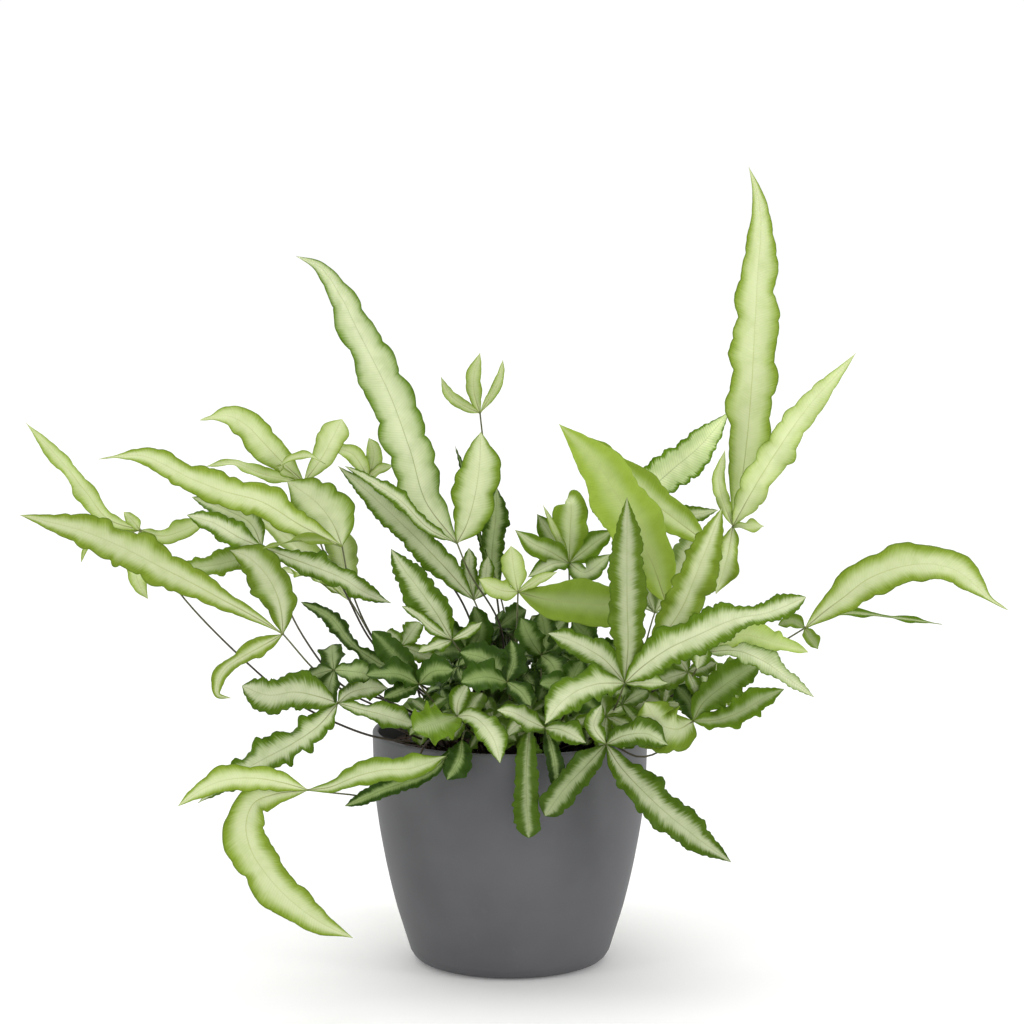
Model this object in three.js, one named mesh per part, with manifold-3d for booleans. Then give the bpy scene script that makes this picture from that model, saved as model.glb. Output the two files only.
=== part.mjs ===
// A variegated ribbon fern in a smooth round plastic pot, in millimetres, +Z up.
// The origin is the middle of the pot's flat foot. The plant is seen from -Y.
import * as THREE from "three";
import { mergeVertices } from "three/addons/utils/BufferGeometryUtils.js";
import Module from "manifold-3d";

const wasm = await Module();
wasm.setup();

// Pot: outer diameter at the rim, height, and the wall.
const POT_RIM_RADIUS = 70;
const POT_HEIGHT = 119;
const POT_WALL = 3;
const POT_FLOOR = 4;
const POT_SIDES = 32;
const LIP_ROUND = 0.6;
// Outer wall as [radius, height], from the flat foot to the top of the lip.
const POT_OUTSIDE = [
  [47, 0], [49.6, 1.8], [51.4, 6.5], [58.1, 28], [64.8, 58], [69.2, 90],
  [POT_RIM_RADIUS, POT_HEIGHT - 1], [69.2, POT_HEIGHT],
];

// Potting soil fills the pot to a little under the rim and rises towards the middle.
const SOIL_DROP = 11;
const SOIL_DOME = 4;
const SOIL_RINGS = [45, 20]; // radii of the rings of corners that shape the dome
const SEAT_GAP = 0.3;

// Stipes are the wiry stems of the fronds. Each stands in a plain hole in the soil.
const STIPE_RADIUS = 0.85;
const STIPE_SIDES = 4;
const STIPE_STEP = 36;
const STIPE_DEPTH = 12;
const STIPE_RISE = 3; // it stands straight up to this height above the soil
const HOLE_GAP = 0.5;
const HOLE_SIDES = 6;

// Leaflets: thickness, length of half a wave of the margin, how far the margin swings out of the blade and
// what share of the half width it swings in it.
const BLADE_THICK = 0.8;
const HALF_WAVE = 15;
const WAVE_SWING = { young: 1.6, ripe: 1.4, dark: 1 };
const RUFFLE = 0.1;
const FOLD = 0.16; // the margins stand this share of the half width above the midrib
const NARROW = 0.55; // half width of a leaflet at its root and tip
const FULLNESS = 2.3; // power that the outline narrows by away from the belly: a higher one is fuller

// The eye that the plant's points are measured from: they are written [across, down, near],
// across and down in a square picture 1024 to the side, near in millimetres before the pot's axis.
const PICTURE_MIDDLE = 512;
const EYE_DISTANCE = 1600;
const EYE_PITCH = THREE.MathUtils.degToRad(6.8);
const EYE_TARGET = new THREE.Vector3(1, 0, 230);
const PICTURE_SCALE = 0.5054; // millimetres to one picture unit at the pot's axis

const COLOURS = { pot: 0x66666a, soil: 0x2e2119, young: 0xa3c95c, ripe: 0x7fae58, dark: 0x4c7a38 };
const ROUGHNESS = { pot: 0.55, soil: 0.95, leaf: 0.6 };

// Fronds: name, age, share of the full wave, root [x, y] in the soil, the stipe's points above the soil up
// to the crown, and the leaflets. A leaflet is [width, belly, yaw, tilt, points...]: belly is the percent of
// its length where it is widest, yaw and tilt are the angles round the pot and above the horizon that its
// face looks at, and the points are those its midrib runs through from the crown to its tip.
const FRONDS = [
  ["tall_left", "ripe", 1.2, [-6, 4], [[501, 629, 8], [469, 572, 8], [457, 543, 8]], [
    [23, 28, -12, 10, [426, 502, 6], [410, 450, 3], [389, 393, -4], [360, 335, -10], [341, 297, -15],
      [320, 267, -19], [296, 256, -21]],
    [22, 50, 8, 10, [466, 526, 10], [474, 500, 12], [479, 470, 12], [481, 432, 10]],
    [8, 50, -10, 40, [428, 528, 18], [402, 502, 24], [372, 481, 26], [345, 466, 28]]]],
  ["long_shaded", "ripe", 0.86, [-12, 2], [[492, 645, 6], [474, 600, 4]], [
    [15, 35, -25, 30, [438, 560, 2], [400, 522, 0], [368, 492, -4], [338, 466, -6]],
    [9, 55, 10, 20, [470, 580, 0], [469, 548, -2]],
    [9, 55, 20, 10, [484, 583, 0], [488, 556, -4]]]],
  ["front_left_ripe", "ripe", 1, [-17, -12], [[470, 668, 34], [452, 640, 40]], [
    [17, 40, -20, 20, [436, 613, 42], [419, 589, 42], [403, 568, 41], [391, 549, 40]],
    [7, 55, -20, 50, [432, 628, 44], [416, 614, 46], [402, 606, 47]],
    [6, 50, 20, 40, [468, 632, 38], [482, 622, 34]],
    [9, 50, -20, 40, [438, 645, 46], [418, 652, 52]]]],
  ["left_long", "young", 1.3, [-24, -8], [[390, 712, 34], [345, 691, 44], [318, 673, 50], [283, 634, 58]], [
    [20, 55, -10, 30, [262, 621, 60], [225, 601, 64], [190, 582, 67], [155, 564, 69], [120, 546, 71],
      [80, 530, 73], [50, 522, 74], [20, 515, 75]],
    [20, 55, -10, 15, [281, 610, 57], [275, 590, 55], [264, 572, 52], [248, 557, 50], [230, 550, 48]],
    [9, 30, 0, 30, [262, 646, 64], [242, 657, 68], [226, 668, 70], [218, 682, 71], [218, 695, 70],
      [231, 698, 68]]]],
  ["left_mid", "ripe", 1.2, [-26, 4], [[385, 700, 16], [346, 688, 26], [303, 636, 34], [262, 547, 40]], [
    [13, 45, 10, 30, [285, 556, 42], [315, 567, 40], [342, 578, 36], [366, 593, 31], [391, 603, 27]],
    [13, 45, -20, 30, [240, 538, 46], [214, 523, 50], [187, 515, 54]],
    [13, 45, -20, 35, [244, 557, 42], [214, 565, 44], [172, 570, 46]],
    [12, 40, -10, 30, [250, 523, 30], [222, 508, 26], [192, 497, 22]]]],
  ["left_upper", "young", 1.2, [-18, 8], [[384, 654, 14], [352, 592, 24], [342, 546, 30]], [
    [17, 40, -15, 30, [302, 526, 34], [262, 502, 38], [220, 490, 40], [188, 477, 42], [165, 465, 43],
      [143, 456, 43], [122, 456, 43], [99, 459, 42]],
    [26, 45, 5, 10, [333, 524, 24], [317, 503, 21], [287, 481, 19]],
    [7, 50, -10, 60, [320, 540, 40], [294, 541, 50], [263, 548, 62]]]],
  ["left_top", "young", 1, [-9, 15], [[380, 652, -6], [345, 592, -2], [323, 550, 2], [304, 482, 6]], [
    [16, 50, -20, 20, [280, 460, 10], [262, 441, 13], [246, 425, 17], [228, 416, 21], [200, 420, 26]],
    [14, 80, 5, 10, [319, 462, 4], [331, 441, 0], [342, 419, -4]],
    [5, 50, 0, 60, [280, 468, 14], [292, 458, 18], [310, 456, 20], [326, 464, 20]],
    [8, 50, -20, 50, [262, 474, 6], [235, 463, 4], [207, 466, 2]]]],
  ["left_small", "young", 0.7, [-3, 13], [[462, 602, -14], [420, 548, -14], [385, 502, -10],
    [368, 479, -8]], [
    [9, 60, 10, 10, [372, 466, -6], [374, 452, -5], [369, 438, -5]],
    [9, 45, -20, 30, [361, 465, -3], [352, 454, -2], [337, 449, -1], [320, 456, 0]],
    [5, 50, 30, 30, [378, 470, -4], [394, 465, -4]]]],
  ["left_far", "young", 1, [-34, -20], [[398, 741, 50], [372, 736, 54], [346, 727, 54], [300, 705, 52],
    [271, 684, 50], [183, 597, 40], [140, 530, 34]], [
    [10, 45, -30, 20, [108, 519, 30], [86, 492, 26], [62, 462, 22], [26, 423, 18]],
    [6, 50, 0, 20, [132, 520, 36], [124, 512, 38]],
    [10, 60, 10, 30, [162, 536, 32], [184, 530, 31], [206, 519, 30]],
    [9, 60, 0, 20, [135, 562, 32], [138, 582, 28], [148, 599, 26]],
    [5, 50, -30, 20, [106, 538, 28], [88, 545, 26], [81, 562, 24]]]],
  ["left_wavy", "ripe", 2, [-30, -30], [[405, 732, 45], [368, 714, 54], [338, 703, 62]], [
    [19, 50, -10, 25, [320, 697, 65], [295, 692, 67], [268, 695, 69], [242, 686, 70]],
    [17, 35, -15, 30, [318, 726, 69], [290, 745, 74], [260, 761, 78], [228, 780, 82], [198, 803, 85]],
    [12, 60, 5, 45, [356, 708, 66], [380, 714, 67], [417, 725, 64]],
    [13, 50, 10, 30, [350, 693, 58], [368, 688, 54], [388, 688, 52]]]],
  ["lower_left", "young", 1, [-16, -38], [[431, 739, 61], [411, 772, 70], [388, 796, 76], [345, 794, 83],
    [308, 790, 88]], [
    [13, 50, -10, 35, [284, 783, 92], [254, 778, 96], [226, 780, 100], [204, 788, 102], [178, 806, 103]],
    [22, 48, -10, 5, [276, 794, 92], [254, 803, 96], [246, 824, 98], [251, 850, 98], [266, 874, 96],
      [288, 898, 94], [318, 921, 92], [353, 938, 88]],
    [13, 65, 0, 30, [330, 787, 91], [355, 777, 92], [382, 770, 91], [412, 768, 87], [446, 756, 80]]]],
  ["rim_dark", "dark", 0.8, [-9, -35], [[466, 730, 60], [462, 740, 70]], [
    [13, 50, 0, 20, [460, 758, 77], [447, 780, 77]],
    [8, 60, 0, 20, [430, 772, 80], [388, 788, 84], [345, 806, 88]]]],
  ["rim_left", "ripe", 1, [-12, -28], [[466, 725, 50], [457, 716, 60]], [
    [14, 55, 10, 30, [474, 717, 70], [488, 730, 80], [496, 745, 86], [500, 763, 89]],
    [22, 55, -20, 25, [440, 722, 72], [413, 730, 82]],
    [10, 55, 10, 20, [458, 702, 58], [467, 684, 56]]]],
  ["rim_middle", "ripe", 1, [5, -38], [[546, 740, 60], [545, 728, 70]], [
    [12, 50, 0, 40, [528, 720, 78], [512, 712, 80], [497, 710, 80]],
    [12, 50, 10, 35, [562, 730, 77], [586, 743, 80]],
    [8, 50, 0, 10, [552, 748, 77], [558, 790, 79]]]],
  ["hanging_right", "ripe", 1, [22, -34], [[592, 738, 48], [600, 735, 58], [606, 744, 68]], [
    [19, 40, 15, 20, [620, 766, 71], [645, 793, 76], [670, 816, 78], [700, 840, 79], [731, 862, 79]],
    [14, 50, -5, 15, [583, 769, 82], [565, 788, 87], [545, 816, 88]],
    [15, 50, 10, 30, [626, 735, 72], [647, 734, 73], [668, 745, 70]],
    [9, 50, 0, 30, [594, 726, 70], [602, 704, 68]]]],
  ["hanging_front", "ripe", 0.8, [9, -44], [[531, 730, 62], [530, 724, 68]], [
    [12, 60, 0, 10, [528, 744, 77], [526, 780, 82], [529, 838, 82]],
    [9, 50, -10, 30, [516, 726, 74], [508, 736, 80]]]],
  ["right_star", "ripe", 1.2, [27, -20], [[612, 712, 52], [625, 683, 62]], [
    [19, 35, 15, 30, [642, 667, 70], [668, 649, 75], [700, 634, 79], [735, 619, 81], [770, 612, 81],
      [806, 597, 80]],
    [19, 45, -5, 35, [597, 684, 72], [575, 692, 80], [558, 706, 86], [545, 724, 90]],
    [14, 50, -5, 30, [606, 661, 58], [590, 650, 53], [570, 640, 48], [548, 633, 44]],
    [18, 45, 0, 5, [628, 645, 68], [627, 595, 71], [627, 545, 70], [627, 497, 66]],
    [7, 50, 10, 40, [645, 683, 64], [669, 683, 60]]]],
  ["right_ripe", "ripe", 1, [20, -10], [[640, 690, 34], [654, 652, 44]], [
    [21, 35, 15, 15, [668, 630, 48], [683, 606, 50], [695, 577, 51], [709, 542, 50], [722, 508, 48]]]],
  ["right_front_young", "young", 0.6, [15, -4], [[630, 690, 14], [666, 603, 26]], [
    [28, 40, -5, 20, [650, 558, 32], [623, 506, 34], [594, 460, 32], [559, 424, 28]]]],
  ["right_back_young", "young", 0.8, [18, 6], [[640, 680, 2], [700, 580, 8], [711, 546, 10]], [
    [20, 45, -10, 30, [676, 520, 12], [634, 487, 10], [592, 450, 8], [568, 430, 6]]]],
  ["back_silver", "ripe", 0.71, [14, 18], [[600, 620, -18], [628, 528, -16]], [
    [20, 45, 10, 15, [645, 496, -16], [672, 470, -18], [700, 446, -22], [729, 412, -26]],
    [15, 45, -10, 10, [612, 512, -12], [594, 484, -10]],
    [10, 50, 20, 30, [680, 518, -14], [718, 510, -16]]]],
  ["tall_right", "young", 1.2, [25, 6], [[640, 690, -8], [690, 612, -6], [720, 556, -2], [733, 526, 0]], [
    [23.5, 40, 10, 5, [741, 486, 0], [748, 430, -1], [752, 380, -3], [755, 325, -6], [758, 270, -8],
      [761, 225, -8], [757, 192, -8], [749, 167, -8]],
    [16, 32, 15, 20, [750, 495, 10], [768, 465, 13], [789, 433, 15], [812, 402, 17], [835, 377, 19],
      [856, 353, 20]],
    [7, 50, 0, 10, [722, 498, 8], [719, 478, 10], [725, 450, 10]],
    [13, 50, 10, 10, [727, 558, 4], [716, 594, 4]],
    [8, 50, 10, 50, [746, 526, 4], [764, 526, 4]]]],
  ["far_right", "young", 0.8, [34, -2], [[640, 712, 14], [720, 672, 20], [778, 644, 22], [805, 628, 22]], [
    [22.5, 48, 15, 35, [824, 612, 23], [844, 597, 24], [868, 579, 25], [900, 567, 27], [932, 564, 29],
      [957, 571, 31], [975, 585, 32], [990, 599, 33], [1008, 610, 33]],
    [5, 50, 10, 65, [828, 617, 18], [850, 613, 15], [890, 617, 13], [942, 624, 11]],
    [8, 50, 0, 40, [792, 621, 20], [778, 625, 18]],
    [8, 50, 10, 30, [811, 638, 26], [818, 649, 28]]]],
  ["right_low", "dark", 1, [36, -22], [[606, 741, 62], [640, 757, 70], [667, 747, 66], [693, 721, 56]], [
    [15, 40, 15, 40, [716, 720, 58], [740, 712, 60], [764, 698, 62], [784, 689, 62]],
    [17, 50, 15, 40, [703, 703, 52], [722, 687, 50], [742, 673, 48], [762, 661, 46]],
    [26, 50, -10, 20, [678, 729, 62], [660, 724, 66], [645, 702, 68]],
    [14, 50, 0, 40, [690, 702, 48], [676, 686, 44]]]],
  ["right_middle", "ripe", 1, [31, -12], [[680, 690, 40], [706, 652, 56]], [
    [12, 45, 15, 35, [738, 651, 66], [765, 662, 71], [786, 677, 74], [814, 697, 76]],
    [14, 50, 15, 40, [740, 635, 58], [770, 641, 61], [808, 652, 64]],
    [10, 50, 0, 30, [704, 645, 59], [697, 669, 60]]]],
  ["right_inner", "ripe", 0.8, [22, -8], [[636, 718, 20], [662, 697, 25]], [
    [12, 50, 10, 20, [671, 682, 26], [684, 668, 25]],
    [12, 50, -10, 20, [652, 684, 24], [640, 674, 23]],
    [11, 50, 15, 20, [680, 694, 24], [700, 690, 24]],
    [11, 50, -10, 20, [646, 700, 23], [630, 702, 22]]]],
  ["centre_whorl", "young", 0.525, [8, -2], [[562, 660, -2], [569, 600, -4], [569, 563, -4]], [
    [18, 60, 0, 10, [570, 533, -2], [571, 504, -4], [566, 500, -14]],
    [12, 45, -20, 20, [549, 551, 8], [532, 543, 10], [515, 530, 10]],
    [4, 45, -10, 20, [556, 532, 4], [543, 505, 6]],
    [12, 45, 20, 20, [586, 572, 8], [611, 554, 8]],
    [11, 45, -20, 30, [552, 564, 10], [528, 577, 14]],
    [12, 45, 20, 20, [592, 545, -8], [613, 530, -12]],
    [12, 45, -10, 10, [553, 538, -10], [537, 514, -14]]]],
  ["centre_young", "young", 0.6, [2, -12], [[509, 690, 18], [516, 640, 28], [518, 592, 32]], [
    [12, 60, 0, 10, [514, 570, 32], [511, 546, 30]],
    [23, 60, 10, 25, [545, 599, 38], [585, 604, 40], [642, 606, 38]],
    [11, 50, -20, 30, [500, 590, 38], [479, 579, 40]],
    [5, 50, 10, 30, [538, 580, 34], [557, 572, 34]]]],
  ["top_whorl", "young", 0.5, [-1, 20], [[502, 640, -20], [490, 540, -24], [486, 470, -26],
    [480, 413, -28]], [
    [6, 45, -10, 10, [461, 404, -26], [448, 392, -25], [441, 377, -24]],
    [8, 50, 0, 10, [474, 392, -28], [474, 376, -28], [480, 353, -28]],
    [5, 55, 10, 10, [490, 397, -30], [499, 381, -30], [503, 360, -30]]]],
  ["behind_tall_left", "dark", 1, [4, 9], [[510, 640, -10], [499, 590, -12]], [
    [13, 50, 10, 10, [492, 560, -14], [495, 525, -16], [497, 488, -18]],
    [3, 70, 0, 10, [482, 545, -14], [468, 484, -16], [455, 446, -16]]]],
  ["centre_dark_left", "dark", 1, [-21, -22], [[436, 705, 44], [419, 684, 50]], [
    [15, 50, -10, 40, [398, 674, 56], [366, 675, 62]],
    [11, 50, -10, 45, [402, 691, 56], [384, 698, 60]],
    [14, 50, 10, 30, [432, 672, 52], [454, 670, 52]],
    [13, 50, -10, 20, [400, 660, 44], [372, 631, 40]],
    [9, 50, -10, 30, [372, 659, 36], [350, 642, 31], [330, 617, 27], [301, 602, 23]]]],
  ["centre_dark_front", "dark", 0.8, [-4, -24], [[510, 705, 42], [507, 682, 50]], [
    [18, 45, 0, 35, [485, 677, 58], [461, 682, 62]],
    [16, 50, 0, 30, [487, 660, 48], [460, 652, 46]],
    [13, 50, 10, 20, [514, 660, 48], [511, 640, 46]],
    [11, 50, 10, 40, [520, 691, 56], [531, 706, 60]]]],
  ["centre_dark_right", "dark", 0.8, [10, -20], [[540, 700, 30], [541, 655, 34]], [
    [13, 50, 0, 20, [531, 640, 38], [521, 618, 38]],
    [13, 50, 10, 15, [545, 634, 30], [541, 612, 26]],
    [13, 50, 0, 35, [552, 664, 42], [560, 682, 46]],
    [11, 50, 20, 30, [560, 644, 32], [578, 652, 30]]]],
  ["centre_dark_low", "dark", 0.8, [16, -26], [[566, 712, 48], [570, 694, 54]], [
    [13, 50, 0, 40, [556, 684, 58], [540, 684, 62]],
    [13, 50, 10, 40, [584, 700, 60], [600, 712, 64]],
    [12, 50, 0, 20, [574, 676, 52], [582, 660, 50]]]],
  ["centre_dark_back", "dark", 0.8, [-8, -2], [[480, 690, 4], [468, 652, 10]], [
    [14, 50, -10, 30, [450, 650, 14], [428, 656, 18]],
    [13, 50, 10, 20, [480, 632, 16], [474, 606, 18]],
    [13, 50, -10, 20, [454, 636, 8], [440, 622, 6]],
    [13, 50, 20, 40, [486, 656, 18], [504, 664, 22]]]],
  ["centre_dark_far", "dark", 0.8, [13, 2], [[570, 690, 0], [590, 650, 4]], [
    [13, 50, 0, 20, [584, 634, 4], [572, 620, 2]],
    [13, 50, 10, 30, [604, 652, 10], [622, 646, 12]],
    [12, 50, 0, 40, [594, 668, 12], [602, 682, 18]],
    [13, 50, -10, 30, [574, 660, 10], [556, 668, 16]]]],
  ["back_dark_left", "dark", 0.8, [-12, 20], [[478, 700, -30], [470, 682, -38]], [
    [14, 50, 190, 50, [452, 686, -48], [436, 690, -56]],
    [14, 50, 190, 20, [462, 664, -44], [450, 648, -48]],
    [13, 50, 170, 30, [484, 668, -44], [496, 652, -46]]]],
  ["back_dark_right", "dark", 0.8, [14, 20], [[556, 700, -26], [560, 684, -34]], [
    [14, 50, 170, 50, [580, 690, -44], [598, 694, -50]],
    [14, 50, 180, 20, [572, 664, -38], [582, 646, -40]],
    [13, 50, 190, 30, [546, 668, -42], [534, 652, -44]]]],
  ["back_low_left", "ripe", 1.2, [-18, 26], [[462, 712, -52], [440, 690, -74]], [
    [18, 40, 200, 40, [418, 712, -98], [402, 765, -110], [406, 825, -106]],
    [19, 40, 180, 40, [452, 706, -104], [462, 765, -120], [456, 832, -120]],
    [14, 50, 180, 60, [447, 676, -84], [462, 668, -100]]]],
  ["back_low_middle", "ripe", 1.2, [2, 32], [[518, 705, -54], [520, 682, -80]], [
    [19, 40, 180, 40, [510, 692, -104], [503, 750, -128], [508, 815, -130]],
    [18, 40, 170, 40, [534, 692, -106], [556, 742, -122], [566, 802, -124]],
    [14, 50, 190, 60, [506, 670, -94], [488, 664, -106]]]],
  ["back_low_right", "young", 1.2, [20, 26], [[575, 712, -46], [590, 686, -68]], [
    [18, 40, 150, 40, [606, 702, -92], [618, 752, -106], [614, 818, -104]],
    [17, 40, 170, 40, [586, 704, -98], [584, 762, -114], [592, 828, -112]],
    [14, 50, 160, 60, [604, 676, -84], [620, 682, -102]]]],
  ["back_up_right", "ripe", 1.2, [26, 16], [[630, 680, -36], [655, 612, -50]], [
    [18, 45, 150, 20, [642, 580, -60], [630, 545, -66], [624, 512, -68]],
    [18, 45, 170, 20, [674, 586, -56], [690, 552, -62], [700, 524, -64]],
    [17, 50, 190, 50, [638, 606, -70], [615, 604, -88], [592, 604, -100]],
    [15, 50, 140, 50, [676, 614, -64], [698, 622, -78], [708, 640, -86]]]],
  ["back_up_left", "young", 1.2, [-24, 18], [[388, 660, -26], [350, 600, -34]], [
    [16, 45, 200, 40, [318, 566, -44], [280, 532, -54], [248, 508, -58]],
    [16, 45, 190, 20, [344, 566, -42], [334, 530, -50], [316, 500, -54]],
    [15, 50, 190, 60, [322, 582, -56], [296, 572, -78], [276, 572, -92]]]],
];

// A point of the picture, near millimetres before the pot's axis.
function at([across, down, near]) {
  const forward = new THREE.Vector3(0, Math.cos(EYE_PITCH), -Math.sin(EYE_PITCH));
  const up = new THREE.Vector3(0, Math.sin(EYE_PITCH), Math.cos(EYE_PITCH));
  const eye = EYE_TARGET.clone().addScaledVector(forward, -EYE_DISTANCE);
  const unit = PICTURE_SCALE / EYE_DISTANCE;
  const ray = forward.clone().addScaledVector(up, (PICTURE_MIDDLE - down) * unit);
  ray.x += (across - PICTURE_MIDDLE) * unit;
  return eye.addScaledVector(ray, (-near - eye.y) / ray.y);
}

// A closed mesh as a solid, and a solid as a geometry again.
function solid(geometry) {
  const bare = geometry.clone();
  bare.deleteAttribute("normal");
  bare.deleteAttribute("uv");
  const merged = mergeVertices(bare, 1e-4);
  return new wasm.Manifold(new wasm.Mesh({
    numProp: 3,
    vertProperties: merged.attributes.position.array,
    triVerts: new Uint32Array(merged.index.array),
  }));
}

function geometryOf(made) {
  const mesh = made.getMesh();
  const geometry = new THREE.BufferGeometry();
  geometry.setAttribute("position", new THREE.BufferAttribute(mesh.vertProperties, 3));
  geometry.setIndex(new THREE.BufferAttribute(mesh.triVerts, 1));
  geometry.computeVertexNormals();
  return geometry;
}

function piece(name, geometry, color, roughness) {
  const mesh = new THREE.Mesh(geometry, new THREE.MeshStandardMaterial({ color, roughness, metalness: 0 }));
  mesh.name = name;
  return mesh;
}

// A profile of [radius, height] turned about the upright axis.
function turned(profile) {
  const points = profile.map(([radius, height]) => new THREE.Vector2(radius, height));
  return new THREE.LatheGeometry(points, POT_SIDES).rotateX(Math.PI / 2);
}

// The pot's outside moved inwards, from the pot's floor up to a height.
function insideProfile(inset, floor, top) {
  const wall = POT_OUTSIDE.filter(([, height]) => height > floor && height < top);
  const low = [insideRadius(floor, inset), floor];
  const high = [insideRadius(top, inset), top];
  return [low, ...wall.map(([radius, height]) => [radius - inset, height]), high];
}

function insideRadius(height, inset) {
  const above = POT_OUTSIDE.findIndex(([, h]) => h >= height);
  const [r1, h1] = POT_OUTSIDE[above];
  const [r0, h0] = POT_OUTSIDE[Math.max(above - 1, 0)];
  const share = h1 > h0 ? (height - h0) / (h1 - h0) : 0;
  return r0 + (r1 - r0) * share - inset;
}

function makePot() {
  const lip = [POT_RIM_RADIUS - POT_WALL + LIP_ROUND, POT_HEIGHT];
  const inside = insideProfile(POT_WALL, POT_FLOOR, POT_HEIGHT - 1).reverse();
  const profile = [[0, 0], ...POT_OUTSIDE, lip, ...inside, [0, POT_FLOOR]];
  return piece("pot", turned(profile), COLOURS.pot, ROUGHNESS.pot);
}

const SOIL_TOP = POT_HEIGHT - SOIL_DROP;

// Height of the soil's surface at a distance from the pot's axis.
function soilHeight(radius) {
  const share = radius / (POT_RIM_RADIUS - POT_WALL);
  return SOIL_TOP + SOIL_DOME * (1 - share * share);
}

function makeSoil() {
  const side = insideProfile(POT_WALL + SEAT_GAP, POT_FLOOR + SEAT_GAP, SOIL_TOP);
  const rings = SOIL_RINGS.map((radius) => [radius, soilHeight(radius)]);
  const profile = [[0, POT_FLOOR + SEAT_GAP], ...side, ...rings, [0, soilHeight(0)]];
  let body = solid(turned(profile));
  for (const [, , , root] of FRONDS) {
    const top = soilHeight(Math.hypot(...root));
    const [radius, depth] = [STIPE_RADIUS + HOLE_GAP, STIPE_DEPTH + SEAT_GAP];
    const hole = new THREE.CylinderGeometry(radius, radius, 2 * depth, HOLE_SIDES)
      .rotateX(Math.PI / 2)
      .translate(root[0], root[1], top);
    body = body.subtract(solid(hole));
  }
  return piece("soil", geometryOf(body), COLOURS.soil, ROUGHNESS.soil);
}

// The stipe's centre line above the soil, through its points to the crown.
function stipeCurve(root, points) {
  const foot = new THREE.Vector3(...root, soilHeight(Math.hypot(...root)) + STIPE_RISE);
  return new THREE.CatmullRomCurve3([foot, ...points.map(at)], false, "centripetal");
}

// The stipe: a closed tube straight up out of its hole, then along its centre line.
function makeStipe(curve) {
  const steps = Math.max(3, Math.round(curve.getLength() / STIPE_STEP));
  const middles = curve.getSpacedPoints(steps);
  middles.unshift(middles[0].clone().setZ(middles[0].z - STIPE_RISE - STIPE_DEPTH));
  const side = new THREE.Vector3(1, 0, 0);
  const corners = middles.flatMap((middle, i) => {
    const along = middles[Math.min(i + 1, steps + 1)].clone().sub(middles[Math.max(i - 1, 0)]).normalize();
    side.addScaledVector(along, -side.dot(along)).normalize();
    const turn = (k) => side.clone().applyAxisAngle(along, (2 * Math.PI * k) / STIPE_SIDES);
    return Array.from({ length: STIPE_SIDES },
      (_, k) => middle.clone().addScaledVector(turn(k), STIPE_RADIUS));
  });
  const index = [];
  for (let start = 0; start <= steps * STIPE_SIDES; start += STIPE_SIDES) {
    for (let k = 0; k < STIPE_SIDES; k++) {
      const [a, b] = [start + k, start + ((k + 1) % STIPE_SIDES)];
      index.push(a, b, b + STIPE_SIDES, a, b + STIPE_SIDES, a + STIPE_SIDES);
    }
  }
  const end = corners.length - STIPE_SIDES;
  for (let k = 2; k < STIPE_SIDES; k++) index.push(0, k, k - 1, end, end + k - 1, end + k);
  return new THREE.BufferGeometry().setFromPoints(corners).setIndex(index);
}

// Share of its full width that a leaflet has at a share of its length, widest at its belly.
function outline(share, belly) {
  const off = share < belly ? 1 - share / belly : (share - belly) / (1 - belly);
  return 1 - off ** FULLNESS;
}

// The way a leaflet's face looks: yaw round the pot from the viewer's side, tilt above the horizon.
function facing(yaw, tilt) {
  const [around, above] = [yaw, tilt].map(THREE.MathUtils.degToRad);
  return new THREE.Vector3(
    Math.cos(above) * Math.sin(around), -Math.cos(above) * Math.cos(around), Math.sin(above));
}

// A leaflet: a thin ribbon along its midrib, folded a little along it, with waved margins.
function makeLeaflet(root, [width, belly, yaw, tilt, ...points], swing) {
  const curve = new THREE.CatmullRomCurve3([root, ...points.map(at)], false, "centripetal");
  const steps = Math.max(3, Math.round(curve.getLength() / HALF_WAVE));
  const face = facing(yaw, tilt);
  const rows = [];
  for (let i = 0; i <= steps; i++) {
    const share = i / steps;
    const middle = curve.getPointAt(share);
    const along = curve.getTangentAt(share);
    const side = new THREE.Vector3().crossVectors(along, face).normalize();
    const out = new THREE.Vector3().crossVectors(side, along);
    const part = outline(share, belly / 100);
    const half = Math.max((width / 2) * part, NARROW);
    const wave = part * (i % 2 ? 1 : -1);
    const corner = (way) => middle.clone()
      .addScaledVector(side, way * half * (1 + way * RUFFLE * wave))
      .addScaledVector(out, FOLD * half + way * swing * wave);
    const below = (p) => p.clone().addScaledVector(out, -BLADE_THICK);
    rows.push([corner(1), middle, corner(-1)].flatMap((p) => [p, below(p)]));
  }
  return ribbon(rows);
}

// Rows of six corners, each the left margin, midrib and right margin with the point under it, closed into
// a ribbon whose two faces are split into triangles alike.
function ribbon(rows) {
  const upper = [[0, 2], [2, 4], [1, 0], [4, 5]]
    .map(([p, q]) => [[0, p], [6, p], [6, q], [0, p], [6, q], [0, q]]);
  const under = [[1, 3], [3, 5]].map(([p, q]) => [[6, p], [0, p], [6, q], [6, q], [0, p], [0, q]]);
  const span = [...upper, ...under].flat().map(([row, corner]) => row + corner);
  const cap = [0, 2, 3, 0, 3, 1, 2, 4, 5, 2, 5, 3];
  const last = 6 * (rows.length - 1);
  const index = [...cap, ...cap.map((corner) => last + corner).reverse()];
  for (let start = 0; start < last; start += 6) index.push(...span.map((corner) => start + corner));
  return new THREE.BufferGeometry().setFromPoints(rows.flat()).setIndex(index);
}

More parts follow.
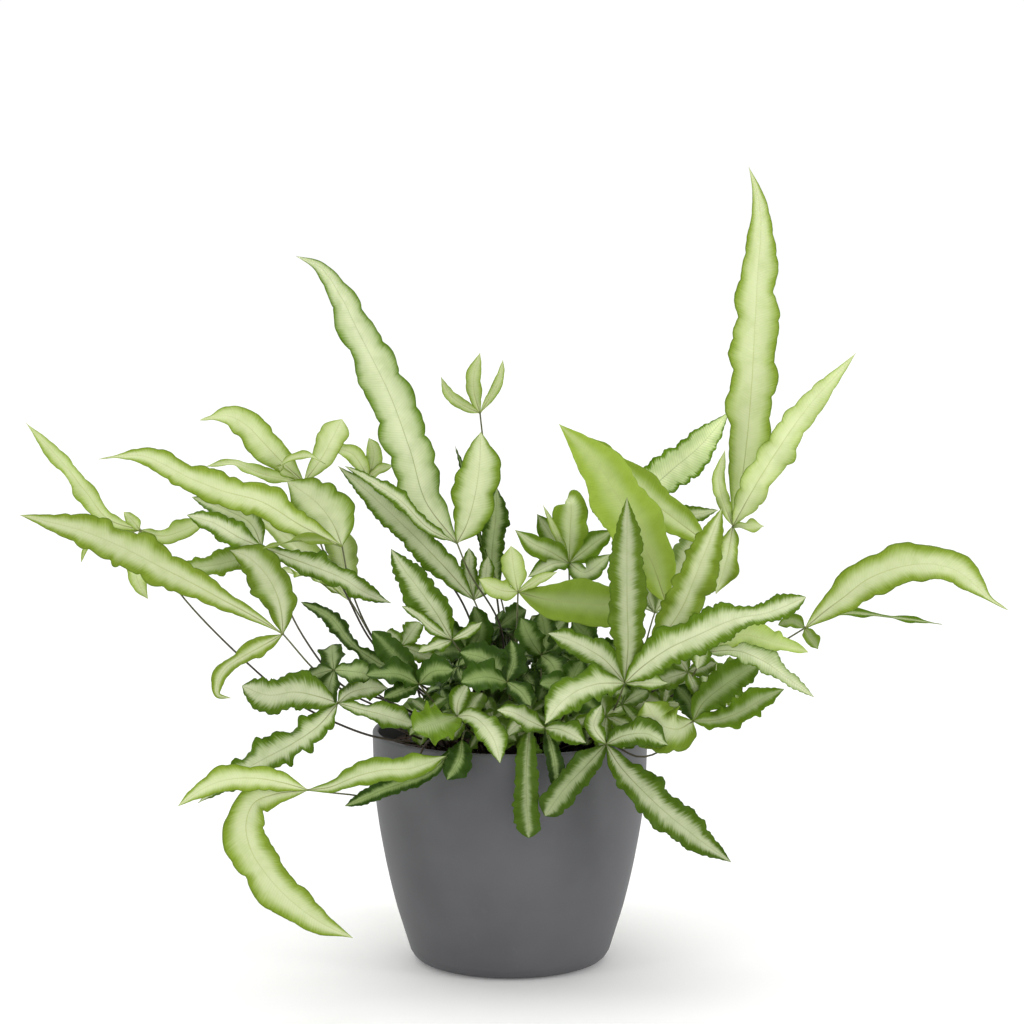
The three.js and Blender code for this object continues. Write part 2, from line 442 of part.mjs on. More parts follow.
function makeFrond([name, age, waviness, root, stipe, leaflets]) {
  const curve = stipeCurve(root, stipe);
  const crown = curve.getPointAt(1 - 1 / curve.getLength());
  let body = solid(makeStipe(curve));
  const swing = WAVE_SWING[age] * waviness;
  for (const leaflet of leaflets) body = body.add(solid(makeLeaflet(crown, leaflet, swing)));
  return piece("frond_" + name, geometryOf(body), COLOURS[age], ROUGHNESS.leaf);
}

const plant = new THREE.Group();
plant.add(makePot(), makeSoil(), ...FRONDS.map(makeFrond));

export default plant;
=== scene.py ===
"""A variegated ribbon fern in a smooth round plastic pot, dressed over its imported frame.

Sizes are in millimetres up to the point where a mesh is made, and in metres in Blender.
"""

import math

import bmesh
import bpy
import numpy as np
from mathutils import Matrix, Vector

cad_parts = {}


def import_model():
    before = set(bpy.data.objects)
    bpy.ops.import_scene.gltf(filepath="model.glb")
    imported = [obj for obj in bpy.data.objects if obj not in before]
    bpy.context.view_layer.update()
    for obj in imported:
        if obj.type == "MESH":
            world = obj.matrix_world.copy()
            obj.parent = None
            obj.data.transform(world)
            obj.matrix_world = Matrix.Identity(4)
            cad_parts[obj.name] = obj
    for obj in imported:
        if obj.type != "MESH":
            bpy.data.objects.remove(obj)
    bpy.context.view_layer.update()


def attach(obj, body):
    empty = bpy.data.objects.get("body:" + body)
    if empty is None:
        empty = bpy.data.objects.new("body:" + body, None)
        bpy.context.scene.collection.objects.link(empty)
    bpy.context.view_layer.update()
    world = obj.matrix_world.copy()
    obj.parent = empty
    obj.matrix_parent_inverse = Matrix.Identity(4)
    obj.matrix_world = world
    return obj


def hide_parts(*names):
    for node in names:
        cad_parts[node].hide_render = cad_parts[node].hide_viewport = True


MM = 0.001
UP = np.array([0.0, 0.0, 1.0])

# Pot: rim radius, height, wall and floor, and its outside as [radius, height]: the flat foot with its round
# corner, and the wall from there to the lip.
POT_RIM_RADIUS = 70
POT_HEIGHT = 119
POT_WALL = 3
POT_FLOOR = 4
POT_SIDES = 160
POT_FOOT = [[0, 0], [20, 0], [40, 0], [41, 0], [44.8, 0.4], [47.6, 1.5], [49.4, 3.1], [50.6, 5]]
POT_OUTSIDE = [
    [51.2, 6], [54.6, 17], [58.1, 28.5], [61.9, 44], [64.8, 58.5], [67.5, 75], [69.2, 92], [70, 116.4],
]
LIP_ROUND = 1.3

# Soil: height at the wall, rise of its dome, gap to the wall, radius of its underside, lengths of the waves
# that its bumps are made of, their height as a share of that, rings and sides of its mesh, and how many
# crumbs lie on it.
SOIL_TOP = 108
SOIL_DOME = 4
SOIL_GAP = 1.2
SOIL_FOOT_RADIUS = 47.4
SOIL_WAVES = (31, 23, 17, 13, 11, 9, 7.3, 6.1, 5.2, 4.4, 3.7, 3.1)
SOIL_WAVE_RISE = 0.035
SOIL_RINGS = 90
SOIL_SIDES = 260
SOIL_SEED = 11
CRUMBS = 1500

# Stipes: radius at the soil and at the crown, length between rings, how far each stands straight up above
# the soil and reaches down into its hole, and how deep its groove is as a share of its radius.
STIPE_SIDES = 10
STIPE_FOOT_RADIUS = 0.68
STIPE_CROWN_RADIUS = 0.42
STIPE_STEP = 4
STIPE_LEAST_RINGS = 8
STIPE_RISE = 3
STIPE_DEPTH = 12
STIPE_GROOVE = 0.16

# Leaflets: length of half a wave of the margin, its swing out of the blade, the in-plane ruffle, the fold
# along the midrib and the fullness of the outline, as the frame's own leaflets have them.
HALF_WAVE = 15
WAVE_SWING = {"young": 1.6, "ripe": 1.4, "dark": 1}
RUFFLE = 0.1
FOLD = 0.16
FULLNESS = 2.3
BLUNTER = 1.8  # how much fuller the outline of a blunt leaflet is beyond its belly
RIPPLE = 1.5  # how far a lobe swings out of the blade, to its depth
TOOTH = 3.3
TWIST_RUN = 22  # length along which a leaflet twists one way
TIGHTEST = 0.8  # of a bend's radius, how far the blade reaches to its inner side
ROOT_HALF = 0.5
TIP_HALF = 0.12
STATION = 0.9  # length between two rows of points
LEAST_ROWS = 14
COLUMNS = (0, 0.045, 0.13, 0.28, 0.45, 0.62, 0.78, 0.9, 1)  # of points, as shares of the half width
BLADE_THICK = 0.34
MARGIN_THICK = 0.14
RIB_HEIGHT = 0.34
RIB_HALF = 0.45
SMALL_WIDTH = 13  # a young leaflet narrower than this is paler
FROND_SEED = 1000
VEIN_GAP = 1.35  # length along the midrib between two side veins
VEIN_SLANT = 0.47  # how far they run on towards the tip for each millimetre out

# Undergrowth: how many small fronds, the radius and rise of the mound that they make over the soil, how
# many lean out over the rim, and the degrees of the rim's left side that they leave open.
UNDERGROWTH = 40
UNDERGROWTH_SEED = 77
MOUND_RADIUS = 54
MOUND_RISE = 40
WHORL_SWING = 0.8  # of the margins' waves
RIM_WHORLS = 15
RIM_OPEN = 60
# More of them at either side: across, down and near in the picture, then yaw, tilt and age.
SIDE_ROOT = 44
SIDE_WHORLS = [
    (688, 672, 46, 10, 20, 1.0), (706, 690, 36, 15, 25, 1.3), (664, 704, 40, 5, 35, 0.8),
    (722, 676, 28, 20, 20, 0.6), (640, 716, 30, 10, 40, 1.5), (334, 670, 56, -15, 35, 1.7),
    (402, 646, 24, -10, 20, 1.2), (590, 690, 30, 10, 30, 1.2), (548, 640, 6, 0, 20, 1.6),
    (426, 712, 50, -10, 45, 1.5), (622, 704, 50, 10, 30, 1.5), (606, 716, 56, 5, 35, 1.1),
    (642, 694, 34, 15, 25, 1.7), (636, 724, 46, 15, 35, 1.2),
]

# The eye that the plant's points are measured from: they are written [across, down, near],
# across and down in a square picture 1024 to the side, near in millimetres before the pot's axis.
PICTURE_SIDE = 1024
PICTURE_SCALE = 0.5054  # millimetres to one picture unit at the pot's axis
EYE_DISTANCE = 1600
EYE_PITCH = math.radians(6.8)
EYE_TARGET = np.array([1.0, 0.0, 230.0])
FORWARD = np.array([0, math.cos(EYE_PITCH), -math.sin(EYE_PITCH)])
EYE_UP = np.array([0, math.sin(EYE_PITCH), math.cos(EYE_PITCH)])
EYE = EYE_TARGET - FORWARD * EYE_DISTANCE
SENSOR = 36

# Light, in metres and watts: how bright the room looks and how much it lights, the sun's strength, width and
# way, and the two tall boxes beside the pot as name, place and power.
ROOM_SEEN = 1.02
ROOM_LIGHT = 0.72
SUN_STRENGTH = 1.3
SUN_WIDTH = math.radians(60)
SUN_WAY = (0.05, -0.3, -1)
BOX_SIZE = (0.35, 1.4)
BOX_TARGET = (0, 0, 0.18)
BOXES = [("soft_left", (-1.5, -1.1, 0.3), 8), ("soft_right", (1.6, -0.9, 0.3), 12)]
FLOOR_REACH = 6

# Fronds: name, age, share of the full wave, root [x, y] in the soil, the stipe's points above the soil up
# to the crown, and the leaflets. A leaflet is [width, belly, yaw, tilt, points...]: belly is the percent of
# its length where it is widest, yaw and tilt are the angles round the pot and above the horizon that its
# face looks at, and the points are those its midrib runs through from the crown to its tip.
FRONDS = [
  ["tall_left", "ripe", 1.2, [-6, 4], [[501, 629, 8], [469, 572, 8], [457, 543, 8]], [
    [23, 28, -12, 10, [426, 502, 6], [410, 450, 3], [389, 393, -4], [360, 335, -10], [341, 297, -15],
      [320, 267, -19], [296, 256, -21]],
    [22, 50, 8, 10, [466, 526, 10], [474, 500, 12], [479, 470, 12], [481, 432, 10]],
    [8, 50, -10, 40, [428, 528, 18], [402, 502, 24], [372, 481, 26], [345, 466, 28]]]],
  ["long_shaded", "ripe", 0.86, [-12, 2], [[492, 645, 6], [474, 600, 4]], [
    [15, 35, -25, 30, [438, 560, 2], [400, 522, 0], [368, 492, -4], [338, 466, -6]],
    [9, 55, 10, 20, [470, 580, 0], [469, 548, -2]],
    [9, 55, 20, 10, [484, 583, 0], [488, 556, -4]]]],
  ["front_left_ripe", "ripe", 1, [-17, -12], [[470, 668, 34], [452, 640, 40]], [
    [17, 40, -20, 20, [436, 613, 42], [419, 589, 42], [403, 568, 41], [391, 549, 40]],
    [7, 55, -20, 50, [432, 628, 44], [416, 614, 46], [402, 606, 47]],
    [6, 50, 20, 40, [468, 632, 38], [482, 622, 34]],
    [9, 50, -20, 40, [438, 645, 46], [418, 652, 52]]]],
  ["left_long", "young", 1.3, [-24, -8], [[390, 712, 34], [345, 691, 44], [318, 673, 50], [283, 634, 58]], [
    [20, 55, -10, 30, [262, 621, 60], [225, 601, 64], [190, 582, 67], [155, 564, 69], [120, 546, 71],
      [80, 530, 73], [50, 522, 74], [20, 515, 75]],
    [20, 55, -10, 15, [281, 610, 57], [275, 590, 55], [264, 572, 52], [248, 557, 50], [230, 550, 48]],
    [9, 30, 0, 30, [262, 646, 64], [242, 657, 68], [226, 668, 70], [218, 682, 71], [218, 695, 70],
      [231, 698, 68]]]],
  ["left_mid", "ripe", 1.2, [-26, 4], [[385, 700, 16], [346, 688, 26], [303, 636, 34], [262, 547, 40]], [
    [13, 45, 10, 30, [285, 556, 42], [315, 567, 40], [342, 578, 36], [366, 593, 31], [391, 603, 27]],
    [13, 45, -20, 30, [240, 538, 46], [214, 523, 50], [187, 515, 54]],
    [13, 45, -20, 35, [244, 557, 42], [214, 565, 44], [172, 570, 46]],
    [12, 40, -10, 30, [250, 523, 30], [222, 508, 26], [192, 497, 22]]]],
  ["left_upper", "young", 1.2, [-18, 8], [[384, 654, 14], [352, 592, 24], [342, 546, 30]], [
    [17, 40, -15, 30, [302, 526, 34], [262, 502, 38], [220, 490, 40], [188, 477, 42], [165, 465, 43],
      [143, 456, 43], [122, 456, 43], [99, 459, 42]],
    [26, 45, 5, 10, [333, 524, 24], [317, 503, 21], [287, 481, 19]],
    [7, 50, -10, 60, [320, 540, 40], [294, 541, 50], [263, 548, 62]]]],
  ["left_top", "young", 1, [-9, 15], [[380, 652, -6], [345, 592, -2], [323, 550, 2], [304, 482, 6]], [
    [16, 50, -20, 20, [280, 460, 10], [262, 441, 13], [246, 425, 17], [228, 416, 21], [200, 420, 26]],
    [14, 80, 5, 10, [319, 462, 4], [331, 441, 0], [342, 419, -4]],
    [5, 50, 0, 60, [280, 468, 14], [292, 458, 18], [310, 456, 20], [326, 464, 20]],
    [8, 50, -20, 50, [262, 474, 6], [235, 463, 4], [207, 466, 2]]]],
  ["left_small", "young", 0.7, [-3, 13], [[462, 602, -14], [420, 548, -14], [385, 502, -10],
    [368, 479, -8]], [
    [9, 60, 10, 10, [372, 466, -6], [374, 452, -5], [369, 438, -5]],
    [9, 45, -20, 30, [361, 465, -3], [352, 454, -2], [337, 449, -1], [320, 456, 0]],
    [5, 50, 30, 30, [378, 470, -4], [394, 465, -4]]]],
  ["left_far", "young", 1, [-34, -20], [[398, 741, 50], [372, 736, 54], [346, 727, 54], [300, 705, 52],
    [271, 684, 50], [183, 597, 40], [140, 530, 34]], [
    [10, 45, -30, 20, [108, 519, 30], [86, 492, 26], [62, 462, 22], [26, 423, 18]],
    [6, 50, 0, 20, [132, 520, 36], [124, 512, 38]],
    [10, 60, 10, 30, [162, 536, 32], [184, 530, 31], [206, 519, 30]],
    [9, 60, 0, 20, [135, 562, 32], [138, 582, 28], [148, 599, 26]],
    [5, 50, -30, 20, [106, 538, 28], [88, 545, 26], [81, 562, 24]]]],
  ["left_wavy", "ripe", 2, [-30, -30], [[405, 732, 45], [368, 714, 54], [338, 703, 62]], [
    [19, 50, -10, 25, [320, 697, 65], [295, 692, 67], [268, 695, 69], [242, 686, 70]],
    [17, 35, -15, 30, [318, 726, 69], [290, 745, 74], [260, 761, 78], [228, 780, 82], [198, 803, 85]],
    [12, 60, 5, 45, [356, 708, 66], [380, 714, 67], [417, 725, 64]],
    [13, 50, 10, 30, [350, 693, 58], [368, 688, 54], [388, 688, 52]]]],
  ["lower_left", "young", 1, [-16, -38], [[431, 739, 61], [411, 772, 70], [388, 796, 76], [345, 794, 83],
    [308, 790, 88]], [
    [13, 50, -10, 35, [284, 783, 92], [254, 778, 96], [226, 780, 100], [204, 788, 102], [178, 806, 103]],
    [22, 48, -10, 5, [276, 794, 92], [254, 803, 96], [246, 824, 98], [251, 850, 98], [266, 874, 96],
      [288, 898, 94], [318, 921, 92], [353, 938, 88]],
    [13, 65, 0, 30, [330, 787, 91], [355, 777, 92], [382, 770, 91], [412, 768, 87], [446, 756, 80]]]],
  ["rim_dark", "dark", 0.8, [-9, -35], [[466, 730, 60], [462, 740, 70]], [
    [13, 50, 0, 20, [460, 758, 77], [447, 780, 77]],
    [8, 60, 0, 20, [430, 772, 80], [388, 788, 84], [345, 806, 88]]]],
  ["rim_left", "ripe", 1, [-12, -28], [[466, 725, 50], [457, 716, 60]], [
    [14, 55, 10, 30, [474, 717, 70], [488, 730, 80], [496, 745, 86], [500, 763, 89]],
    [22, 55, -20, 25, [440, 722, 72], [413, 730, 82]],
    [10, 55, 10, 20, [458, 702, 58], [467, 684, 56]]]],
  ["rim_middle", "ripe", 1, [5, -38], [[546, 740, 60], [545, 728, 70]], [
    [12, 50, 0, 40, [528, 720, 78], [512, 712, 80], [497, 710, 80]],
    [12, 50, 10, 35, [562, 730, 77], [586, 743, 80]],
    [8, 50, 0, 10, [552, 748, 77], [558, 790, 79]]]],
  ["hanging_right", "ripe", 1, [22, -34], [[592, 738, 48], [600, 735, 58], [606, 744, 68]], [
    [19, 40, 15, 20, [620, 766, 71], [645, 793, 76], [670, 816, 78], [700, 840, 79], [731, 862, 79]],
    [14, 50, -5, 15, [583, 769, 82], [565, 788, 87], [545, 816, 88]],
    [15, 50, 10, 30, [626, 735, 72], [647, 734, 73], [668, 745, 70]],
    [9, 50, 0, 30, [594, 726, 70], [602, 704, 68]]]],
  ["hanging_front", "ripe", 0.8, [9, -44], [[531, 730, 62], [530, 724, 68]], [
    [12, 60, 0, 10, [528, 744, 77], [526, 780, 82], [529, 838, 82]],
    [9, 50, -10, 30, [516, 726, 74], [508, 736, 80]]]],
  ["right_star", "ripe", 1.2, [27, -20], [[612, 712, 52], [625, 683, 62]], [
    [19, 35, 15, 30, [642, 667, 70], [668, 649, 75], [700, 634, 79], [735, 619, 81], [770, 612, 81],
      [806, 597, 80]],
    [19, 45, -5, 35, [597, 684, 72], [575, 692, 80], [558, 706, 86], [545, 724, 90]],
    [14, 50, -5, 30, [606, 661, 58], [590, 650, 53], [570, 640, 48], [548, 633, 44]],
    [18, 45, 0, 5, [628, 645, 68], [627, 595, 71], [627, 545, 70], [627, 497, 66]],
    [7, 50, 10, 40, [645, 683, 64], [669, 683, 60]]]],
  ["right_ripe", "ripe", 1, [20, -10], [[640, 690, 34], [654, 652, 44]], [
    [21, 35, 15, 15, [668, 630, 48], [683, 606, 50], [695, 577, 51], [709, 542, 50], [722, 508, 48]]]],
  ["right_front_young", "young", 0.6, [15, -4], [[630, 690, 14], [666, 603, 26]], [
    [28, 40, -5, 20, [650, 558, 32], [623, 506, 34], [594, 460, 32], [559, 424, 28]]]],
  ["right_back_young", "young", 0.8, [18, 6], [[640, 680, 2], [700, 580, 8], [711, 546, 10]], [
    [20, 45, -10, 30, [676, 520, 12], [634, 487, 10], [592, 450, 8], [568, 430, 6]]]],
  ["back_silver", "ripe", 0.71, [14, 18], [[600, 620, -18], [628, 528, -16]], [
    [20, 45, 10, 15, [645, 496, -16], [672, 470, -18], [700, 446, -22], [729, 412, -26]],
    [15, 45, -10, 10, [612, 512, -12], [594, 484, -10]],
    [10, 50, 20, 30, [680, 518, -14], [718, 510, -16]]]],
  ["tall_right", "young", 1.2, [25, 6], [[640, 690, -8], [690, 612, -6], [720, 556, -2], [733, 526, 0]], [
    [23.5, 40, 10, 5, [741, 486, 0], [748, 430, -1], [752, 380, -3], [755, 325, -6], [758, 270, -8],
      [761, 225, -8], [757, 192, -8], [749, 167, -8]],
    [16, 32, 15, 20, [750, 495, 10], [768, 465, 13], [789, 433, 15], [812, 402, 17], [835, 377, 19],
      [856, 353, 20]],
    [7, 50, 0, 10, [722, 498, 8], [719, 478, 10], [725, 450, 10]],
    [13, 50, 10, 10, [727, 558, 4], [716, 594, 4]],
    [8, 50, 10, 50, [746, 526, 4], [764, 526, 4]]]],
  ["far_right", "young", 0.8, [34, -2], [[640, 712, 14], [720, 672, 20], [778, 644, 22], [805, 628, 22]], [
    [22.5, 48, 15, 35, [824, 612, 23], [844, 597, 24], [868, 579, 25], [900, 567, 27], [932, 564, 29],
      [957, 571, 31], [975, 585, 32], [990, 599, 33], [1008, 610, 33]],
    [5, 50, 10, 65, [828, 617, 18], [850, 613, 15], [890, 617, 13], [942, 624, 11]],
    [8, 50, 0, 40, [792, 621, 20], [778, 625, 18]],
    [8, 50, 10, 30, [811, 638, 26], [818, 649, 28]]]],
  ["right_low", "dark", 1, [36, -22], [[606, 741, 62], [640, 757, 70], [667, 747, 66], [693, 721, 56]], [
    [15, 40, 15, 40, [716, 720, 58], [740, 712, 60], [764, 698, 62], [784, 689, 62]],
    [17, 50, 15, 40, [703, 703, 52], [722, 687, 50], [742, 673, 48], [762, 661, 46]],
    [26, 50, -10, 20, [678, 729, 62], [660, 724, 66], [645, 702, 68]],
    [14, 50, 0, 40, [690, 702, 48], [676, 686, 44]]]],
  ["right_middle", "ripe", 1, [31, -12], [[680, 690, 40], [706, 652, 56]], [
    [12, 45, 15, 35, [738, 651, 66], [765, 662, 71], [786, 677, 74], [814, 697, 76]],
    [14, 50, 15, 40, [740, 635, 58], [770, 641, 61], [808, 652, 64]],
    [10, 50, 0, 30, [704, 645, 59], [697, 669, 60]]]],
  ["right_inner", "ripe", 0.8, [22, -8], [[636, 718, 20], [662, 697, 25]], [
    [12, 50, 10, 20, [671, 682, 26], [684, 668, 25]],
    [12, 50, -10, 20, [652, 684, 24], [640, 674, 23]],
    [11, 50, 15, 20, [680, 694, 24], [700, 690, 24]],
    [11, 50, -10, 20, [646, 700, 23], [630, 702, 22]]]],
  ["centre_whorl", "young", 0.525, [8, -2], [[562, 660, -2], [569, 600, -4], [569, 563, -4]], [
    [18, 60, 0, 10, [570, 533, -2], [571, 504, -4], [566, 500, -14]],
    [12, 45, -20, 20, [549, 551, 8], [532, 543, 10], [515, 530, 10]],
    [4, 45, -10, 20, [556, 532, 4], [543, 505, 6]],
    [12, 45, 20, 20, [586, 572, 8], [611, 554, 8]],
    [11, 45, -20, 30, [552, 564, 10], [528, 577, 14]],
    [12, 45, 20, 20, [592, 545, -8], [613, 530, -12]],
    [12, 45, -10, 10, [553, 538, -10], [537, 514, -14]]]],
  ["centre_young", "young", 0.6, [2, -12], [[509, 690, 18], [516, 640, 28], [518, 592, 32]], [
    [12, 60, 0, 10, [514, 570, 32], [511, 546, 30]],
    [23, 60, 10, 25, [545, 599, 38], [585, 604, 40], [642, 606, 38]],
    [11, 50, -20, 30, [500, 590, 38], [479, 579, 40]],
    [5, 50, 10, 30, [538, 580, 34], [557, 572, 34]]]],
  ["top_whorl", "young", 0.5, [-1, 20], [[502, 640, -20], [490, 540, -24], [486, 470, -26],
    [480, 413, -28]], [
    [6, 45, -10, 10, [461, 404, -26], [448, 392, -25], [441, 377, -24]],
    [8, 50, 0, 10, [474, 392, -28], [474, 376, -28], [480, 353, -28]],
    [5, 55, 10, 10, [490, 397, -30], [499, 381, -30], [503, 360, -30]]]],
  ["behind_tall_left", "dark", 1, [4, 9], [[510, 640, -10], [499, 590, -12]], [
    [13, 50, 10, 10, [492, 560, -14], [495, 525, -16], [497, 488, -18]],
    [3, 70, 0, 10, [482, 545, -14], [468, 484, -16], [455, 446, -16]]]],
  ["centre_dark_left", "dark", 1, [-21, -22], [[436, 705, 44], [419, 684, 50]], [
    [15, 50, -10, 40, [398, 674, 56], [366, 675, 62]],
    [11, 50, -10, 45, [402, 691, 56], [384, 698, 60]],
    [14, 50, 10, 30, [432, 672, 52], [454, 670, 52]],
    [13, 50, -10, 20, [400, 660, 44], [372, 631, 40]],
    [9, 50, -10, 30, [372, 659, 36], [350, 642, 31], [330, 617, 27], [301, 602, 23]]]],
  ["centre_dark_front", "dark", 0.8, [-4, -24], [[510, 705, 42], [507, 682, 50]], [
    [18, 45, 0, 35, [485, 677, 58], [461, 682, 62]],
    [16, 50, 0, 30, [487, 660, 48], [460, 652, 46]],
    [13, 50, 10, 20, [514, 660, 48], [511, 640, 46]],
    [11, 50, 10, 40, [520, 691, 56], [531, 706, 60]]]],
  ["centre_dark_right", "dark", 0.8, [10, -20], [[540, 700, 30], [541, 655, 34]], [
    [13, 50, 0, 20, [531, 640, 38], [521, 618, 38]],
    [13, 50, 10, 15, [545, 634, 30], [541, 612, 26]],
    [13, 50, 0, 35, [552, 664, 42], [560, 682, 46]],
    [11, 50, 20, 30, [560, 644, 32], [578, 652, 30]]]],
  ["centre_dark_low", "dark", 0.8, [16, -26], [[566, 712, 48], [570, 694, 54]], [
    [13, 50, 0, 40, [556, 684, 58], [540, 684, 62]],
    [13, 50, 10, 40, [584, 700, 60], [600, 712, 64]],
    [12, 50, 0, 20, [574, 676, 52], [582, 660, 50]]]],
  ["centre_dark_back", "dark", 0.8, [-8, -2], [[480, 690, 4], [468, 652, 10]], [
    [14, 50, -10, 30, [450, 650, 14], [428, 656, 18]],
    [13, 50, 10, 20, [480, 632, 16], [474, 606, 18]],
    [13, 50, -10, 20, [454, 636, 8], [440, 622, 6]],
    [13, 50, 20, 40, [486, 656, 18], [504, 664, 22]]]],
  ["centre_dark_far", "dark", 0.8, [13, 2], [[570, 690, 0], [590, 650, 4]], [
    [13, 50, 0, 20, [584, 634, 4], [572, 620, 2]],
    [13, 50, 10, 30, [604, 652, 10], [622, 646, 12]],
    [12, 50, 0, 40, [594, 668, 12], [602, 682, 18]],
    [13, 50, -10, 30, [574, 660, 10], [556, 668, 16]]]],
  ["back_dark_left", "dark", 0.8, [-12, 20], [[478, 700, -30], [470, 682, -38]], [
    [14, 50, 190, 50, [452, 686, -48], [436, 690, -56]],
    [14, 50, 190, 20, [462, 664, -44], [450, 648, -48]],
    [13, 50, 170, 30, [484, 668, -44], [496, 652, -46]]]],
  ["back_dark_right", "dark", 0.8, [14, 20], [[556, 700, -26], [560, 684, -34]], [
    [14, 50, 170, 50, [580, 690, -44], [598, 694, -50]],
    [14, 50, 180, 20, [572, 664, -38], [582, 646, -40]],
    [13, 50, 190, 30, [546, 668, -42], [534, 652, -44]]]],
  ["back_low_left", "ripe", 1.2, [-18, 26], [[462, 712, -52], [440, 690, -74]], [
    [18, 40, 200, 40, [418, 712, -98], [402, 765, -110], [406, 825, -106]],
    [19, 40, 180, 40, [452, 706, -104], [462, 765, -120], [456, 832, -120]],
    [14, 50, 180, 60, [447, 676, -84], [462, 668, -100]]]],
  ["back_low_middle", "ripe", 1.2, [2, 32], [[518, 705, -54], [520, 682, -80]], [
    [19, 40, 180, 40, [510, 692, -104], [503, 750, -128], [508, 815, -130]],
    [18, 40, 170, 40, [534, 692, -106], [556, 742, -122], [566, 802, -124]],
    [14, 50, 190, 60, [506, 670, -94], [488, 664, -106]]]],
  ["back_low_right", "young", 1.2, [20, 26], [[575, 712, -46], [590, 686, -68]], [
    [18, 40, 150, 40, [606, 702, -92], [618, 752, -106], [614, 818, -104]],
    [17, 40, 170, 40, [586, 704, -98], [584, 762, -114], [592, 828, -112]],
    [14, 50, 160, 60, [604, 676, -84], [620, 682, -102]]]],
  ["back_up_right", "ripe", 1.2, [26, 16], [[630, 680, -36], [655, 612, -50]], [
    [18, 45, 150, 20, [642, 580, -60], [630, 545, -66], [624, 512, -68]],
    [18, 45, 170, 20, [674, 586, -56], [690, 552, -62], [700, 524, -64]],
    [17, 50, 190, 50, [638, 606, -70], [615, 604, -88], [592, 604, -100]],
    [15, 50, 140, 50, [676, 614, -64], [698, 622, -78], [708, 640, -86]]]],
  ["back_up_left", "young", 1.2, [-24, 18], [[388, 660, -26], [350, 600, -34]], [
    [16, 45, 200, 40, [318, 566, -44], [280, 532, -54], [248, 508, -58]],
    [16, 45, 190, 20, [344, 566, -42], [334, 530, -50], [316, 500, -54]],
    [15, 50, 190, 60, [322, 582, -56], [296, 572, -78], [276, 572, -92]]]],
]

# Fronds with a young stipe, and how green it is from the soil on.
GREEN_STIPES = {"centre_young": 0.85, "top_whorl": 0.4, "right_ripe": 0.4}

# How a leaflet of each age looks: its age (0 young, 1 ripe, 2 dark), how light it is, the share of its half
# width that is pale, how far the green runs into it along the side veins, how soft their border is, how
# plain the blade is, how clearly its side veins show, height of the margin's teeth in millimetres, how deep
# its lobes are cut as a share of the half width, how long they are, how blunt its tip and how slim its root
# is, how far it twists in radians, and where along its length it is pinched, how much and how far round.
LOOK = {
    "young": dict(age=0, tone=1, cream=0.56, feather=0.15, soft=0.26, plain=0.04, veins=0.07,
                  teeth=0.1, lobe=0.2, every=9, blunt=0, slim=0, twist=0.12, pinch=()),
    "ripe": dict(age=1, tone=1, cream=0.56, feather=0.3, soft=0.22, plain=0, veins=0.09,
                 teeth=0.55, lobe=0.2, every=7, blunt=0.3, slim=0, twist=0.16, pinch=()),
    "dark": dict(age=2, tone=1, cream=0.24, feather=0.24, soft=0.24, plain=0.3, veins=0.1,
                 teeth=0.55, lobe=0.24, every=5.4, blunt=0.6, slim=0, twist=0.25, pinch=()),
}
LOOK_VALUES = ("age", "tone", "cream", "feather", "soft", "plain", "veins")  # that the colours depend on
